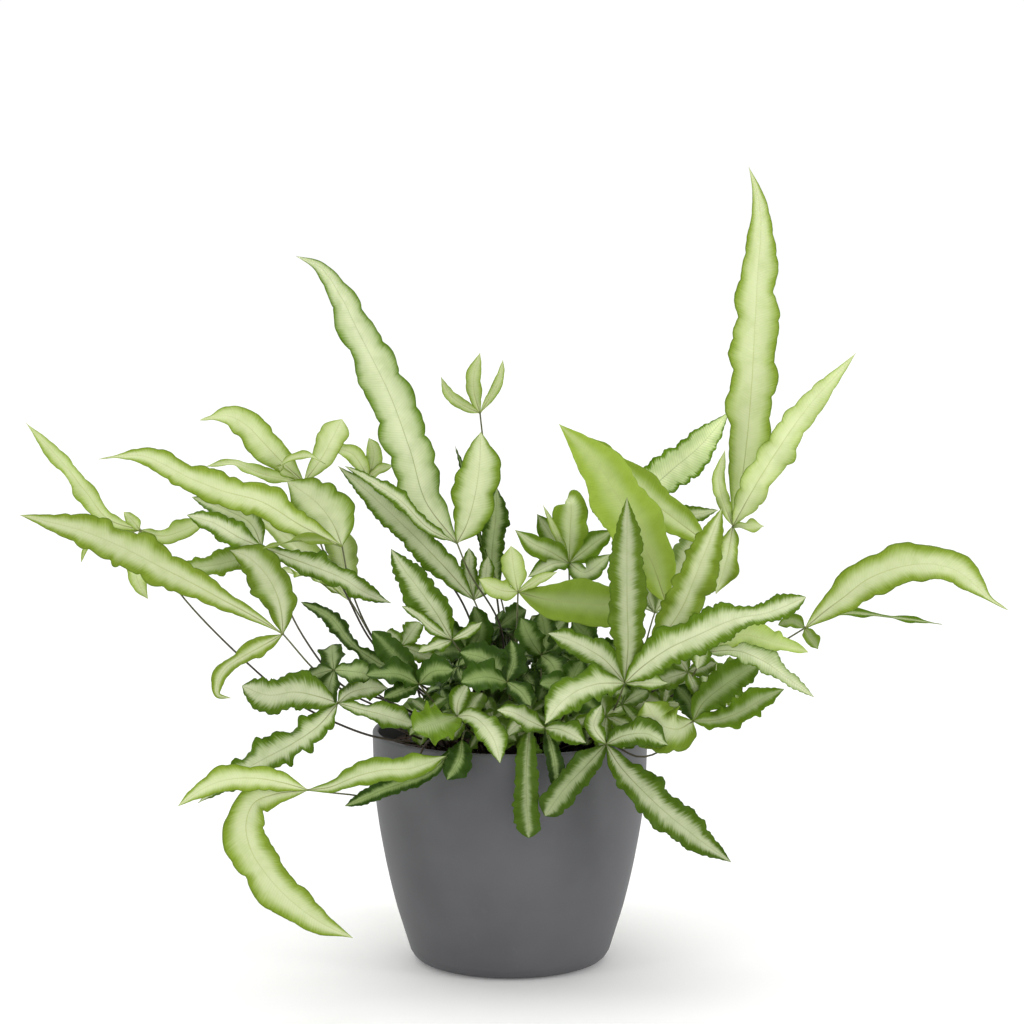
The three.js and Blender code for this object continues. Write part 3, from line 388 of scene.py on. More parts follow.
# Leaflets that differ from their age's look, by frond and the leaflet's place in it.
OWN_LOOK = {
    "tall_left": {
        0: dict(age=0.9, tone=1.13, cream=0.78, feather=0.14, teeth=0, lobe=0.22, every=17),
        1: dict(age=0.5, tone=1.04, cream=0.68, feather=0.14, teeth=0, every=11),
    },
    "tall_right": {
        0: dict(tone=1.15, cream=0.72, feather=0.12, lobe=0.16, every=16),
        1: dict(tone=1.18, cream=0.86, lobe=0.24, every=12),
    },
    "behind_tall_left": {0: dict(age=1.5, cream=0.5, plain=0)},
    # long_shaded's first leaflet is painted a little lighter, tone 1.06: painted light against the shade that
    # tall_left casts on it.
    "long_shaded": {0: dict(age=1.1, tone=1.06, cream=0.62, feather=0.24, every=8)},
    "front_left_ripe": {0: dict(age=1.3, tone=0.95, cream=0.44, every=6)},
    "left_long": {
        0: dict(tone=0.97, cream=0.56, slim=1.1),
        1: dict(age=0.5, tone=0.92, cream=0.5),
        2: dict(tone=0.9, cream=0.45),
    },
    "left_upper": {
        0: dict(age=0.15, tone=1.05, cream=0.6, lobe=0.22, pinch=((0.95, 0.6, 0.04),)),
        1: dict(age=0.5, tone=1.1, cream=0.66),
        2: dict(age=0.2, tone=0.72, plain=1),
    },
    "left_mid": {0: dict(age=1.2, lobe=0.3), 2: dict(age=0.6, plain=0.5)},
    "left_top": {
        0: dict(tone=1.12, cream=0.72, lobe=0.12, every=12, pinch=((0.92, 0.5, 0.06),)),
        1: dict(tone=1.22, cream=0.8, lobe=0.1, every=10),
    },
    "left_far": {4: dict(plain=0.8)},
    "left_wavy": {
        0: dict(age=1.1, tone=0.89, lobe=0.24, blunt=1, teeth=1),
        1: dict(age=1.1, lobe=0.36),
        2: dict(age=1.1, cream=0.6, lobe=0.26, blunt=1),
    },
    "lower_left": {
        0: dict(tone=1.1, cream=0.62),
        1: dict(cream=0.62, every=14, lobe=0.12),
        2: dict(age=0.5, plain=0.2),
    },
    "right_front_young": {0: dict(tone=1.1, plain=0.9, lobe=0.04)},
    "right_back_young": {0: dict(age=0.3, tone=1.16, cream=0.5, plain=0.4, lobe=0.06)},
    "right_ripe": {0: dict(age=0.2, tone=0.96, cream=0.42, feather=0.14, soft=0.26, plain=0.1)},
    "right_star": {
        0: dict(age=0.9, tone=1.1, lobe=0.22, blunt=2, teeth=0.9, pinch=((0.76, 0.42, 0.12),)),
        3: dict(age=0.75, tone=0.76, cream=0.44, plain=0.22),
    },
    "right_middle": {
        0: dict(tone=1.12, cream=0.84, teeth=0.7, blunt=0, veins=0.2),
        1: dict(age=0, tone=1.22, plain=0.6, cream=0.8, teeth=0),
    },
    "right_low": {
        0: dict(age=1.1, tone=0.92, plain=0.6, cream=0.36),
        1: dict(age=1.4, tone=0.92, plain=0.66, cream=0.36),
        2: dict(age=0.5, tone=0.95, plain=0.2, cream=0.5),
    },
    "centre_young": {1: dict(age=0.6, tone=0.88, plain=1, lobe=0.04)},
    "rim_left": {
        0: dict(cream=0.66),
        1: dict(age=0.9, tone=0.95, cream=0.3, plain=0.8, lobe=0.24, every=4, blunt=1, twist=0.1, veins=0.35),
    },
    "hanging_front": {0: dict(age=1.5, tone=0.84, cream=0.24, plain=0.34, blunt=2.5, every=5)},
    "centre_dark_left": {
        4: dict(age=1.7, cream=0.42, plain=0, lobe=0.3, twist=0.7, blunt=1, pinch=((0.5, 0.6, 0.05),)),
    },
    "hanging_right": {
        0: dict(age=1.25, tone=0.82, cream=0.46),
        1: dict(age=1.4, tone=0.8, cream=0.42, plain=0.14, blunt=2.5),
        2: dict(age=1.4, tone=0.94, cream=0.42, feather=0.45),
    },
    "rim_middle": {
        1: dict(age=1.2, tone=0.94, cream=0.46, feather=0.4),
        2: dict(age=1.8, tone=0.85, cream=0.3, blunt=1),
    },
    "far_right": {
        0: dict(cream=0.6, lobe=0.1, every=14, pinch=((0.93, 0.6, 0.07),)),
        1: dict(age=1.1, tone=0.94, cream=0.3, plain=0.4, lobe=0.12, twist=0.05),
        2: dict(age=0.7, tone=0.85, plain=0.8),
        3: dict(age=0.7, tone=0.85, plain=0.8),
    },
    # back_silver's leaflets are painted lighter than their age's look, tone 1.66 and 1.35: painted light that
    # makes up for the shade they lie in.
    "back_silver": {
        0: dict(age=1.2, tone=1.66, cream=0.8, feather=0.26, soft=0.1, veins=0.2, blunt=0),
        1: dict(age=1.5, tone=1.35, cream=0.74, feather=0.26, soft=0.1, veins=0.2),
    },
    "centre_whorl": {
        0: dict(age=0.55, tone=1.16, cream=0.46, plain=0.26, twist=0),
        1: dict(age=0.7, tone=1.14, cream=0.46, plain=0.26),
        3: dict(age=1.3, tone=1.1, cream=0.62),
        4: dict(age=1.3, tone=1.1),
        5: dict(age=0.8, tone=1.08, cream=0.42, plain=0.3),
        6: dict(age=0.9, tone=0.9, cream=0.4, plain=0.4),
    },
    "back_low_left": {0: dict(age=1.4, cream=0.44, twist=0.4, every=9)},
    "back_low_middle": {
        0: dict(age=0.7, twist=0.3, lobe=0.26, every=8.5),
        1: dict(age=1.3, tone=0.92, cream=0.5, twist=0.45),
    },
    "back_low_right": {1: dict(age=0.6, cream=0.5, twist=0.35, every=12)},
}

# Colours as red, green and blue out of 255: those that a leaflet runs through with its age, from young over
# ripe to dark, single ones, and pairs that a surface varies between.
AGED_COLOURS = {
    "margin": [(117, 140, 32), (76, 106, 6), (33, 58, 1)],
    "centre": [(206, 214, 168), (207, 214, 175), (154, 174, 110)],
    "plain": [(151, 175, 66), (110, 142, 24), (62, 96, 6)],
    "rib": [(172, 182, 112), (146, 158, 96), (84, 102, 44)],
}
COLOURS = {
    "leaf_streak": (36, 56, 2), "leaf_edge": (48, 76, 6), "leaf_tip": (40, 66, 4),
    "leaf_stalk": (104, 104, 52), "leaf_under": (160, 174, 120), "pot_dust": (120, 118, 114),
    "soil_fibre": (98, 78, 56), "crumb_dark": (40, 28, 19), "crumb_grain": (176, 168, 150),
}
PAIRS = {
    "stipe_dark": [(38, 30, 20), (62, 50, 30)], "stipe_green": [(84, 92, 48), (112, 118, 62)],
    "pot": [(91, 91, 94), (97, 97, 100)], "peat": [(24, 17, 12), (58, 42, 29)],
    "bark": [(26, 18, 12), (84, 60, 38)],
}


# ---------------------------------------------------------------- geometry helpers

def at(across, down, near):
    """The point seen there in the picture, near millimetres before the pot's axis."""
    scale = PICTURE_SCALE / EYE_DISTANCE
    ray = FORWARD + EYE_UP * (PICTURE_SIDE / 2 - down) * scale
    ray[0] += (across - PICTURE_SIDE / 2) * scale
    return EYE + ray * ((-near - EYE[1]) / ray[1])


def unit(vectors):
    """The vectors at a length of 1."""
    return vectors / np.linalg.norm(vectors, axis=-1, keepdims=True)


def smooth_curve(points, per_span=48):
    """Many points along the centripetal Catmull-Rom curve through the given ones."""
    p = np.array(points, float)
    p = np.vstack([2 * p[0] - p[1], p, 2 * p[-1] - p[-2]])
    u = np.linspace(0, 1, per_span, endpoint=False)[:, None]
    spans = []
    for a, b, c, d in zip(p, p[1:], p[2:], p[3:]):
        before, here, after = (max(np.linalg.norm(e - s) ** 0.5, 1e-6) for s, e in ((a, b), (b, c), (c, d)))
        start = ((b - a) / before - (c - a) / (before + here) + (c - b) / here) * here
        end = ((c - b) / here - (d - b) / (here + after) + (d - c) / after) * here
        square = 3 * (c - b) - 2 * start - end
        cube = 2 * (b - c) + start + end
        spans.append(b + start * u + square * u**2 + cube * u**3)
    return np.vstack([*spans, p[-2:-1]])


def even_points(curve, step, least):
    """Points about a step apart on a fine curve, at least so many, its way at each one, and its length."""
    run = np.concatenate([[0], np.cumsum(np.linalg.norm(np.diff(curve, axis=0), axis=1))])
    where = np.linspace(0, run[-1], max(least, round(run[-1] / step)))
    points = np.stack([np.interp(where, run, curve[:, k]) for k in range(3)], axis=1)
    return points, unit(np.gradient(points, axis=0)), run[-1]


def facing(yaw, tilt):
    """The way a leaflet's face looks: yaw round the pot from the viewer's side, tilt above the horizon."""
    around, above = math.radians(yaw), math.radians(tilt)
    level = math.cos(above)
    return np.array([level * math.sin(around), -level * math.cos(around), math.sin(above)])


def soil_height(radius):
    """Height of the soil's smooth dome at a distance from the pot's axis."""
    return SOIL_TOP + SOIL_DOME * (1 - (radius / (POT_RIM_RADIUS - POT_WALL)) ** 2)


class Build:
    """Vertices, faces and values on the vertices, gathered for one mesh."""

    def __init__(self):
        self.points, self.faces, self.smooth, self.values, self.count = [], [], [], {}, 0

    def add(self, points, *groups, flat=None, **values):
        """Points, the groups of faces between them, the number of a group that is flat, and their values."""
        points = np.asarray(points, float).reshape(-1, 3)
        self.points.append(points)
        for number, faces in enumerate(groups):
            self.faces += (faces + self.count).tolist()
            self.smooth += [number != flat] * len(faces)
        for name, value in values.items():
            self.values.setdefault(name, []).append(np.broadcast_to(value, len(points)).astype(float))
        self.count += len(points)

    def mesh(self, name, material, slot):
        """A new object with this mesh."""
        data = bpy.data.meshes.new(name)
        data.from_pydata((np.vstack(self.points) * MM).tolist(), [], self.faces)
        data.polygons.foreach_set("use_smooth", self.smooth)
        for key, parts in self.values.items():
            layer = data.attributes.new(key, "FLOAT", "POINT")
            layer.data.foreach_set("value", np.concatenate(parts))
        data.materials.append(material)
        made = bpy.data.objects.new(name, data)
        bpy.context.scene.collection.objects.link(made)
        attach(made, "root")
        return made


def quads(rows, columns, closed=False):
    """Faces of a grid of points, rows by columns, its last column joined to its first if it is closed."""
    column = np.arange(columns if closed else columns - 1)
    a = np.arange(rows - 1)[:, None] * columns + column
    b = np.arange(rows - 1)[:, None] * columns + (column + 1) % columns
    return np.stack([a, b, b + columns, a + columns], axis=-1).reshape(-1, 4)


def fan(tip, ring):
    """Triangles from a point to each side of a ring of points."""
    return np.stack([np.full(len(ring), tip), ring, np.roll(ring, -1)], axis=1)


def tube(rings, start, end):
    """Points and faces of a tube through rings of points that closes to a point at either end."""
    rows, sides = rings.shape[:2]
    ring, tip = np.arange(sides), rows * sides
    points = np.vstack([rings.reshape(-1, 3), start, end])
    return points, quads(rows, sides, closed=True), fan(tip, ring[::-1]), fan(tip + 1, ring + tip - sides)


def circle(sides):
    """Angles at even steps round a full turn."""
    return np.linspace(0, 2 * math.pi, sides, endpoint=False)


# ---------------------------------------------------------------- leaflets and stipes

def outline(share, belly, blunt, slim):
    """Share of its full width that a leaflet has at a share of its length, widest at its belly."""
    off = np.where(share < belly, 1 - share / belly, (share - belly) / (1 - belly))
    return 1 - np.clip(off, 0, 1) ** (FULLNESS + np.where(share > belly, BLUNTER * blunt, -slim))


def wander(dice, where, length, spread):
    """A slow random line from -1 to 1 at the given places, with a knot every length."""
    knots = dice.uniform(-1, 1, int(spread / length) + 4)
    at_knot = where / length
    low = np.floor(at_knot).astype(int)
    turn = at_knot - low
    turn = turn * turn * (3 - 2 * turn)
    return knots[low] * (1 - turn) + knots[low + 1] * turn


def lobes(dice, along, every, length):
    """Rounded lobes of uneven length along a margin, 0 in the notches to 1, and which way each one bulges."""
    ends = np.cumsum(every * dice.uniform(0.6, 1.4, int(2 * length / every) + 3)) - every
    place = np.searchsorted(ends, along)
    start, end = ends[np.maximum(place - 1, 0)], ends[place]
    turn = np.clip((along - start) / np.maximum(end - start, 1e-3), 0, 1)
    tall = dice.uniform(0.5, 1.0, len(ends))[place]
    bulge = np.where(place % 2, 1.0, -1.0) * tall
    hump = np.sin(math.pi * turn)
    return tall * np.abs(hump) ** 0.75 + (1 - tall) * 0.6, bulge * hump


def teeth(dice, along, share, length):
    """Small forward teeth along a margin, from -0.5 to 0.5, strongest towards the tip."""
    tooth_at = (along + 0.8 * wander(dice, along, 5, length)) / TOOTH
    tooth = 1 - np.abs(2 * (tooth_at % 1) - 1) ** 1.6
    return (tooth - 0.5) * np.clip(share * 2.2 - 0.1, 0.3, 1)


def blade_frame(dice, curve, face, twist):
    """The midrib's points, their shares of its length, the ways to the side and out, its bend and length.

    The bend is how fast the midrib turns to the side.
    """
    middle, forward, length = even_points(curve, STATION, LEAST_ROWS)
    share = np.linspace(0, 1, len(middle))
    side = unit(np.cross(forward, face))
    out = np.cross(side, forward)
    roll = (twist * wander(dice, share * length, TWIST_RUN, length) * np.clip(share * 4, 0, 1))[:, None]
    side, out = side * np.cos(roll) + out * np.sin(roll), out * np.cos(roll) - side * np.sin(roll)
    bend = (np.gradient(forward, length / (len(middle) - 1), axis=0) * side).sum(axis=1)
    return middle, share, side, out, bend, length


def blade_width(share, width, belly, look):
    """Share of its full width that the blade has at each share of its length, and half its width there."""
    part = outline(share, belly, look["blunt"], look["slim"])
    for place, depth, reach in look["pinch"]:
        part = part * (1 - depth * np.exp(-(((share - place) / reach) ** 2)))
    half = np.maximum(width / 2 * part, ROOT_HALF + (TIP_HALF - ROOT_HALF) * share)
    half *= 1 - 0.3 * (1 - look["blunt"]) * np.clip((share - 0.75) / 0.25, 0, 1) ** 2
    return part, half


def one_margin(dice, way, share, length, part, half, wave, bend, look):
    """How far one margin reaches out, how deep its teeth are cut, and how far it ripples out of the blade."""
    along = share * length
    lobe, bulge = lobes(dice, along, look["every"], length)
    ragged = 0.03 * wander(dice, along, 3, length)
    ripple = (RIPPLE * bulge * look["lobe"] * half + 0.4 * wander(dice, along, 4, length)) * part
    cut = (look["lobe"] * (lobe - 0.65) + ragged) * np.minimum(part * 1.5, 1)
    edge = half * (1 + way * RUFFLE * wave + cut)
    room = TIGHTEST / np.maximum(way * bend, 1e-3)
    tooth = look["teeth"] * teeth(dice, along, share, length) * np.minimum(part * 2, 1)
    return room * np.tanh(edge / room), tooth, ripple


def add_leaflet(build, dice, curve, width, belly, face, swing, look):
    """One leaflet: a thin closed blade along its midrib, with a rib under it and waved, cut margins."""
    middle, share, side, out, bend, length = blade_frame(dice, curve, face, look["twist"])
    part, half = blade_width(share, width, belly, look)
    wave = -part * np.cos(math.pi * share * max(3, round(length / HALF_WAVE)))
    columns = np.array([-t for t in reversed(COLUMNS[1:])] + list(COLUMNS))
    reach = np.zeros((len(share), len(columns)))
    lift = np.zeros_like(reach)
    for way in (-1, 1):
        edge, tooth, ripple = one_margin(dice, way, share, length, part, half, wave, bend, look)
        these = columns * way > 0
        t = np.abs(columns[these])
        reach[:, these] = way * (edge[:, None] * t + tooth[:, None] * t**6)
        lift[:, these] = FOLD * half[:, None] * t**1.3 + (way * swing * wave + ripple)[:, None] * t**1.7
    upper = middle[:, None] + side[:, None] * reach[..., None] + out[:, None] * lift[..., None]
    rib = RIB_HEIGHT * (1 - 0.8 * share[:, None]) * np.exp(-((reach / RIB_HALF) ** 2))
    thick = MARGIN_THICK + (BLADE_THICK - MARGIN_THICK) * (1 - columns**2) + rib
    upper = upper - out[:, None] * (0.3 * rib)[..., None]
    under = upper - out[:, None] * thick[..., None]
    close_blade(build, upper, under, columns, share, length, half, dice.uniform(0, 1), look)


def close_blade(build, upper, under, columns, share, length, half, seed, look):
    """Joins the two faces of a blade round its margin, with what its colours are worked out from."""
    rows, wide = upper.shape[:2]
    size = rows * wide
    grid = quads(rows, wide)
    table = np.arange(size).reshape(rows, wide)
    edge = np.concatenate([table[0, :-1], table[:-1, -1], table[-1, :0:-1], table[:0:-1, 0]])
    after = np.roll(edge, -1)
    walls = np.stack([edge, edge + size, after + size, after], axis=1)
    spread = lambda line: np.tile(np.repeat(line, wide), 2)
    build.add(
        np.stack([upper, under]), np.vstack([grid, grid[:, ::-1] + size]), walls, flat=1,
        across=np.tile(columns, 2 * rows), along=spread(share * length), share=spread(share),
        half=spread(half), seed=seed, under=np.repeat([0, 1], size),
        **{key: look[key] for key in LOOK_VALUES},
    )


def add_stipe(build, curve, green=0):
    """A wiry stem: a round tube straight up out of its hole and then along its curve, thinner to its crown.

    It turns green towards the crown, and is green from the soil on where green is 1.
    """
    middles, _, _ = even_points(curve, STIPE_STEP, STIPE_LEAST_RINGS)
    middles = np.vstack([middles[0] - UP * (STIPE_RISE + STIPE_DEPTH), middles])
    ways = unit(np.gradient(middles, axis=0))
    share = np.linspace(0, 1, len(middles))
    angles = circle(STIPE_SIDES)
    groove = 1 - STIPE_GROOVE * np.exp(-(((angles - math.pi / 2) / 0.5) ** 2))
    side = np.array([1.0, 0, 0])
    rings = []
    for middle, way, s in zip(middles, ways, share):
        side = unit(side - way * side.dot(way))
        radius = STIPE_FOOT_RADIUS + (STIPE_CROWN_RADIUS - STIPE_FOOT_RADIUS) * s
        ring = np.outer(np.cos(angles), side) + np.outer(np.sin(angles), np.cross(way, side))
        rings.append(middle + radius * groove[:, None] * ring)
    tip = middles[-1] + ways[-1] * STIPE_CROWN_RADIUS * 0.7
    up = np.concatenate([np.repeat(share, STIPE_SIDES), [0, 1]])
    build.add(*tube(np.array(rings), middles[0], tip), up=green + (1 - green) * up)


def drawn(dice, **spans):
    """A value for each name, drawn from its span in the order given."""
    return {name: dice.uniform(*span) for name, span in spans.items()}


def leaflet_look(dice, name, age, place, width):
    """How one leaflet of a large frond looks."""
    own = OWN_LOOK.get(name, {}).get(place)
    look = LOOK[age] | (own or {})
    look["age"] += dice.uniform(-0.12, 0.12)
    look["tone"] *= dice.uniform(0.93, 1.05)
    if age == "dark" and own is None:
        look |= drawn(dice, cream=(0.16, 0.5), plain=(0, 0.6), every=(3.6, 5.6), blunt=(0.2, 1))
    if age == "young" and width < SMALL_WIDTH and own is None:
        look |= {"cream": 0.74, "plain": 0.25, "tone": look["tone"] * 1.08}
    return look


def make_frond(number, row, materials):
    """A large frond: its stipe and its leaflets, in the place of the frame's solid of that name."""
    name, age, waviness, root, stipe, leaflets = row
    dice = np.random.default_rng(FROND_SEED + number)
    foot = np.array([*root, soil_height(math.hypot(*root)) + STIPE_RISE])
    curve = smooth_curve([foot, *(at(*p) for p in stipe)])
    stem = Build()
    add_stipe(stem, curve, GREEN_STIPES.get(name, 0))
    stem_piece = stem.mesh(f"frond_{name}_stipe", materials["stipe"], "stipe")
    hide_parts(f"frond_{name}")
    blades = Build()
    for place, (width, belly, yaw, tilt, *points) in enumerate(leaflets):
        look = leaflet_look(dice, name, age, place, width)
        midrib = smooth_curve([curve[-1], *(at(*p) for p in points)])
        swing = WAVE_SWING[age] * waviness
        add_leaflet(blades, dice, midrib, width, belly / 100, facing(yaw, tilt), swing, look)
    blade_piece = blades.mesh(f"frond_{name}_blades", materials[age], f"{age}_foliage")
    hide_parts(f"frond_{name}")


# ---------------------------------------------------------------- undergrowth

def add_whorl(blades, stems, dice, foot, crown, face, lengths, look):
    """A small frond: its stipe leans over from foot to crown, and its leaflets spread round its face."""
    lean = (crown - foot) * [1, 1, 0]
    add_stipe(stems, smooth_curve([foot, (foot + crown) / 2 - lean * 0.12, crown]))
    level = unit(np.cross(face, UP))
    upright = np.cross(face, level)
    count = int(dice.integers(4, 6))
    start = dice.uniform(0, 2 * math.pi)
    for k in range(count):
        angle = start + (k + dice.uniform(-0.2, 0.2)) * 2 * math.pi / count
        away = level * math.cos(angle) + upright * math.sin(angle)
        length = dice.uniform(*lengths)
        points = [crown + away * length * t - face * length * 0.3 * t**2 for t in (0, 0.35, 0.7, 1)]
        own = drawn(dice, cream=(0.6, 1.4), tone=(0.8, 1.12), blunt=(0, 1)) | {"twist": 0.3}
        own |= {"cream": look["cream"] * own["cream"], "tone": look["tone"] * own["tone"]}
        width = dice.uniform(0.5, 0.74) * length
        add_leaflet(blades, dice, smooth_curve(points), width, 0.5, face, WHORL_SWING, look | own)


def mound_whorl(blades, stems, dice, depth):
    """One small frond on the crown's low mound, or inside it where depth is less than 1."""
    turn, radius = dice.uniform(0, 2 * math.pi), MOUND_RADIUS * dice.uniform() ** 0.6
    outward = np.array([math.cos(turn), math.sin(turn), 0])
    rise = MOUND_RISE * (1 - (radius / MOUND_RADIUS) ** 2) * depth + dice.uniform(12, 20)
    ground = soil_height(radius * 0.6)
    crown = outward * radius * (0.5 + 0.5 * depth) + UP * (ground + rise)
    foot = outward * radius * 0.5 + UP * (ground + STIPE_RISE)
    face = unit(outward * (0.25 + radius / MOUND_RADIUS) + UP * 0.75 + dice.normal(size=3) * 0.22)
    # The low tones here are partly the leaves' own dark green and partly painted shade, for the depth of the
    # crown's middle.
    own = drawn(dice, age=(1.5, 2.1), tone=(0.62, 1.08), plain=(0, 0.9), cream=(0.1, 0.4))
    look = LOOK["dark"] | own | {"every": 3.6, "lobe": 0.26}
    add_whorl(blades, stems, dice, foot, crown, face, (10, 17), look)


def rim_whorl(blades, stems, dice, turn):
    """One small frond that leans out low over the pot's rim."""
    outward = np.array([math.cos(turn), math.sin(turn), 0])
    crown = outward * dice.uniform(50, 58) + UP * (POT_HEIGHT + dice.uniform(7, 16))
    foot = outward * dice.uniform(30, 42) + UP * (soil_height(36) + STIPE_RISE)
    face = unit(outward * dice.uniform(0.5, 1.1) + UP * 0.8 + dice.normal(size=3) * 0.2)
    own = drawn(dice, age=(0.9, 1.9), tone=(0.76, 1.02), plain=(0, 0.6), cream=(0.14, 0.42))
    look = LOOK["dark"] | own | {"every": 4.2, "lobe": 0.22}
    add_whorl(blades, stems, dice, foot, crown, face, (12, 19), look)


def side_whorl(blades, stems, dice, across, down, near, yaw, tilt, age):
    """One small frond at a place of its own in the picture, on a stipe that bends out of the soil."""
    crown = at(across, down, near)
    foot = crown * [1, 1, 0]
    foot = foot * min(1, SIDE_ROOT / np.linalg.norm(foot)) + UP * (soil_height(SIDE_ROOT) + STIPE_RISE)
    own = drawn(dice, tone=(0.85, 1.05), plain=(0, 0.6), cream=(0.3, 0.5))
    look = LOOK["dark"] | own | {"age": age, "every": 4.4, "lobe": 0.24}
    add_whorl(blades, stems, dice, foot, crown, facing(yaw, tilt), (12, 19), look)


def make_undergrowth(materials):
    """Small fronds between the large ones, low over the soil and along the rim, on short stipes."""
    dice = np.random.default_rng(UNDERGROWTH_SEED)
    mound, rim, sides, stems = Build(), Build(), Build(), Build()
    for k in range(UNDERGROWTH):
        mound_whorl(mound, stems, dice, 1 if k % 3 else 0.55)
    for k in range(RIM_WHORLS):
        share = (k + dice.uniform(0.2, 0.8)) / RIM_WHORLS
        rim_whorl(rim, stems, dice, math.radians(RIM_OPEN / 2 + share * (360 - RIM_OPEN) - 180))
    for row in SIDE_WHORLS:
        side_whorl(sides, stems, dice, *row)
    for place, blades in (("mound", mound), ("rim", rim), ("sides", sides)):
        blades.mesh(f"undergrowth_{place}_blades", materials["dark"], "dark_foliage")
    stems.mesh("undergrowth_stipes", materials["stipe"], "stipe")


# ---------------------------------------------------------------- pot and soil

def arc(radius, start, end, middle, count=8):
    """Points of a round corner of a profile, angles in degrees."""
    angles = np.radians(np.linspace(start, end, count))
    return [[middle[0] + radius * math.cos(a), middle[1] + radius * math.sin(a)] for a in angles]


def make_pot(material):
    """A turned shell with a flat foot, a round foot corner, a curved wall and a slim rounded lip."""
    wall = smooth_curve([[r, 0, h] for r, h in POT_OUTSIDE], per_span=10)[:, [0, 2]]
    top = POT_HEIGHT - LIP_ROUND
    lip = arc(LIP_ROUND, 0, 90, (POT_RIM_RADIUS - LIP_ROUND, top))
    lip += arc(LIP_ROUND, 90, 180, (POT_RIM_RADIUS - POT_WALL + LIP_ROUND, top))
    inside = [[r - POT_WALL, h] for r, h in wall[::-1] if h > POT_FLOOR + 4]
    low = inside[-1][0]
    floor = [[low - 1.5, POT_FLOOR + 2], [low - 4, POT_FLOOR], [20, POT_FLOOR], [0, POT_FLOOR]]
    profile = np.array(POT_FOOT + wall.tolist() + lip + inside + floor)
    radii, heights = profile[1:-1, :1], profile[1:-1, 1:]
    angles = circle(POT_SIDES)
    rings = np.stack([radii * np.cos(angles), radii * np.sin(angles), heights + 0 * angles], axis=-1)
    build = Build()
    build.add(*tube(rings, UP * profile[0][1], UP * profile[-1][1]))
    piece = build.mesh("pot_shell", material, "pot")
    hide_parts("pot")


def soil_bumps(x, y, waves):
    """Height of crumbly soil above its smooth dome, from a few sums of waves with random directions."""
    height = np.zeros_like(x)
    for angle, period, phase, tall in waves:
        height += tall * np.sin((x * math.cos(angle) + y * math.sin(angle)) * 2 * math.pi / period + phase)
    return height


def make_soil(materials):
    """A crumbly domed surface inside the pot, with loose crumbs and bits of bark lying on it."""
    dice = np.random.default_rng(SOIL_SEED)
    waves = [
        (dice.uniform(0, math.pi), period, dice.uniform(0, 6), period * SOIL_WAVE_RISE)
        for period in SOIL_WAVES
    ]
    rim = POT_RIM_RADIUS - POT_WALL - SOIL_GAP
    radius, angles = np.linspace(0.5, rim, SOIL_RINGS)[:, None], circle(SOIL_SIDES)
    x, y = radius * np.cos(angles), radius * np.sin(angles)
    z = soil_height(radius) + soil_bumps(x, y, waves) * np.clip((rim - radius) / 6 + 0.3, 0.3, 1)
    z += dice.uniform(-0.25, 0.25, z.shape)
    top = np.stack([x, y, z], axis=-1)
    low = top[-1] * [1, 1, 0] * (SOIL_FOOT_RADIUS / rim) + UP * (POT_FLOOR + 2)
    sides = quads(SOIL_RINGS + 1, SOIL_SIDES, closed=True)[:, ::-1]
    cap = np.arange(SOIL_SIDES)[None]
    bottom = (cap + SOIL_RINGS * SOIL_SIDES)[:, ::-1]
    build = Build()
    build.add(np.vstack([*top, low]), sides, cap, bottom, flat=2)
    piece = build.mesh("soil_mix", materials["soil"], "soil")
    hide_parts("soil")
    make_crumbs(materials, dice, waves, rim)


def make_crumbs(materials, dice, waves, rim):
    """Loose crumbs of the mix, each a squashed and jittered ball set a little into the soil."""
    shape = bmesh.new()
    bmesh.ops.create_icosphere(shape, subdivisions=1, radius=1)
    ball_points = np.array([v.co for v in shape.verts])
    ball_faces = np.array([[v.index for v in f.verts] for f in shape.faces])
    shape.free()
    build = Build()
    for _ in range(CRUMBS):
        radius, angle = (rim - 2) * math.sqrt(dice.uniform()), dice.uniform(0, 2 * math.pi)
        x, y = radius * math.cos(angle), radius * math.sin(angle)
        size = 0.45 + 1.5 * dice.uniform() ** 3
        turn = np.linalg.qr(dice.normal(size=(3, 3)))[0]
        squash = np.array([1, dice.uniform(0.5, 1), dice.uniform(0.35, 0.8)]) * size
        lump = (ball_points * dice.uniform(0.75, 1.15, (len(ball_points), 1)) * squash) @ turn
        if np.linalg.det(turn) < 0:
            lump = lump * [-1, 1, 1]
        z = soil_height(radius) + soil_bumps(x, y, waves) * 0.8 + 0.15 * size
        build.add(lump + [x, y, z], ball_faces, tint=dice.uniform())
    piece = build.mesh("soil_crumbs", materials["crumbs"], "soil")
    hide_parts("soil")


# ---------------------------------------------------------------- materials

def linear(colour):
    """A colour out of 255 as Blender's linear red, green, blue and alpha."""
    return (*(((c / 255 + 0.055) / 1.055) ** 2.4 if c > 10 else c / 255 / 12.92 for c in colour), 1)


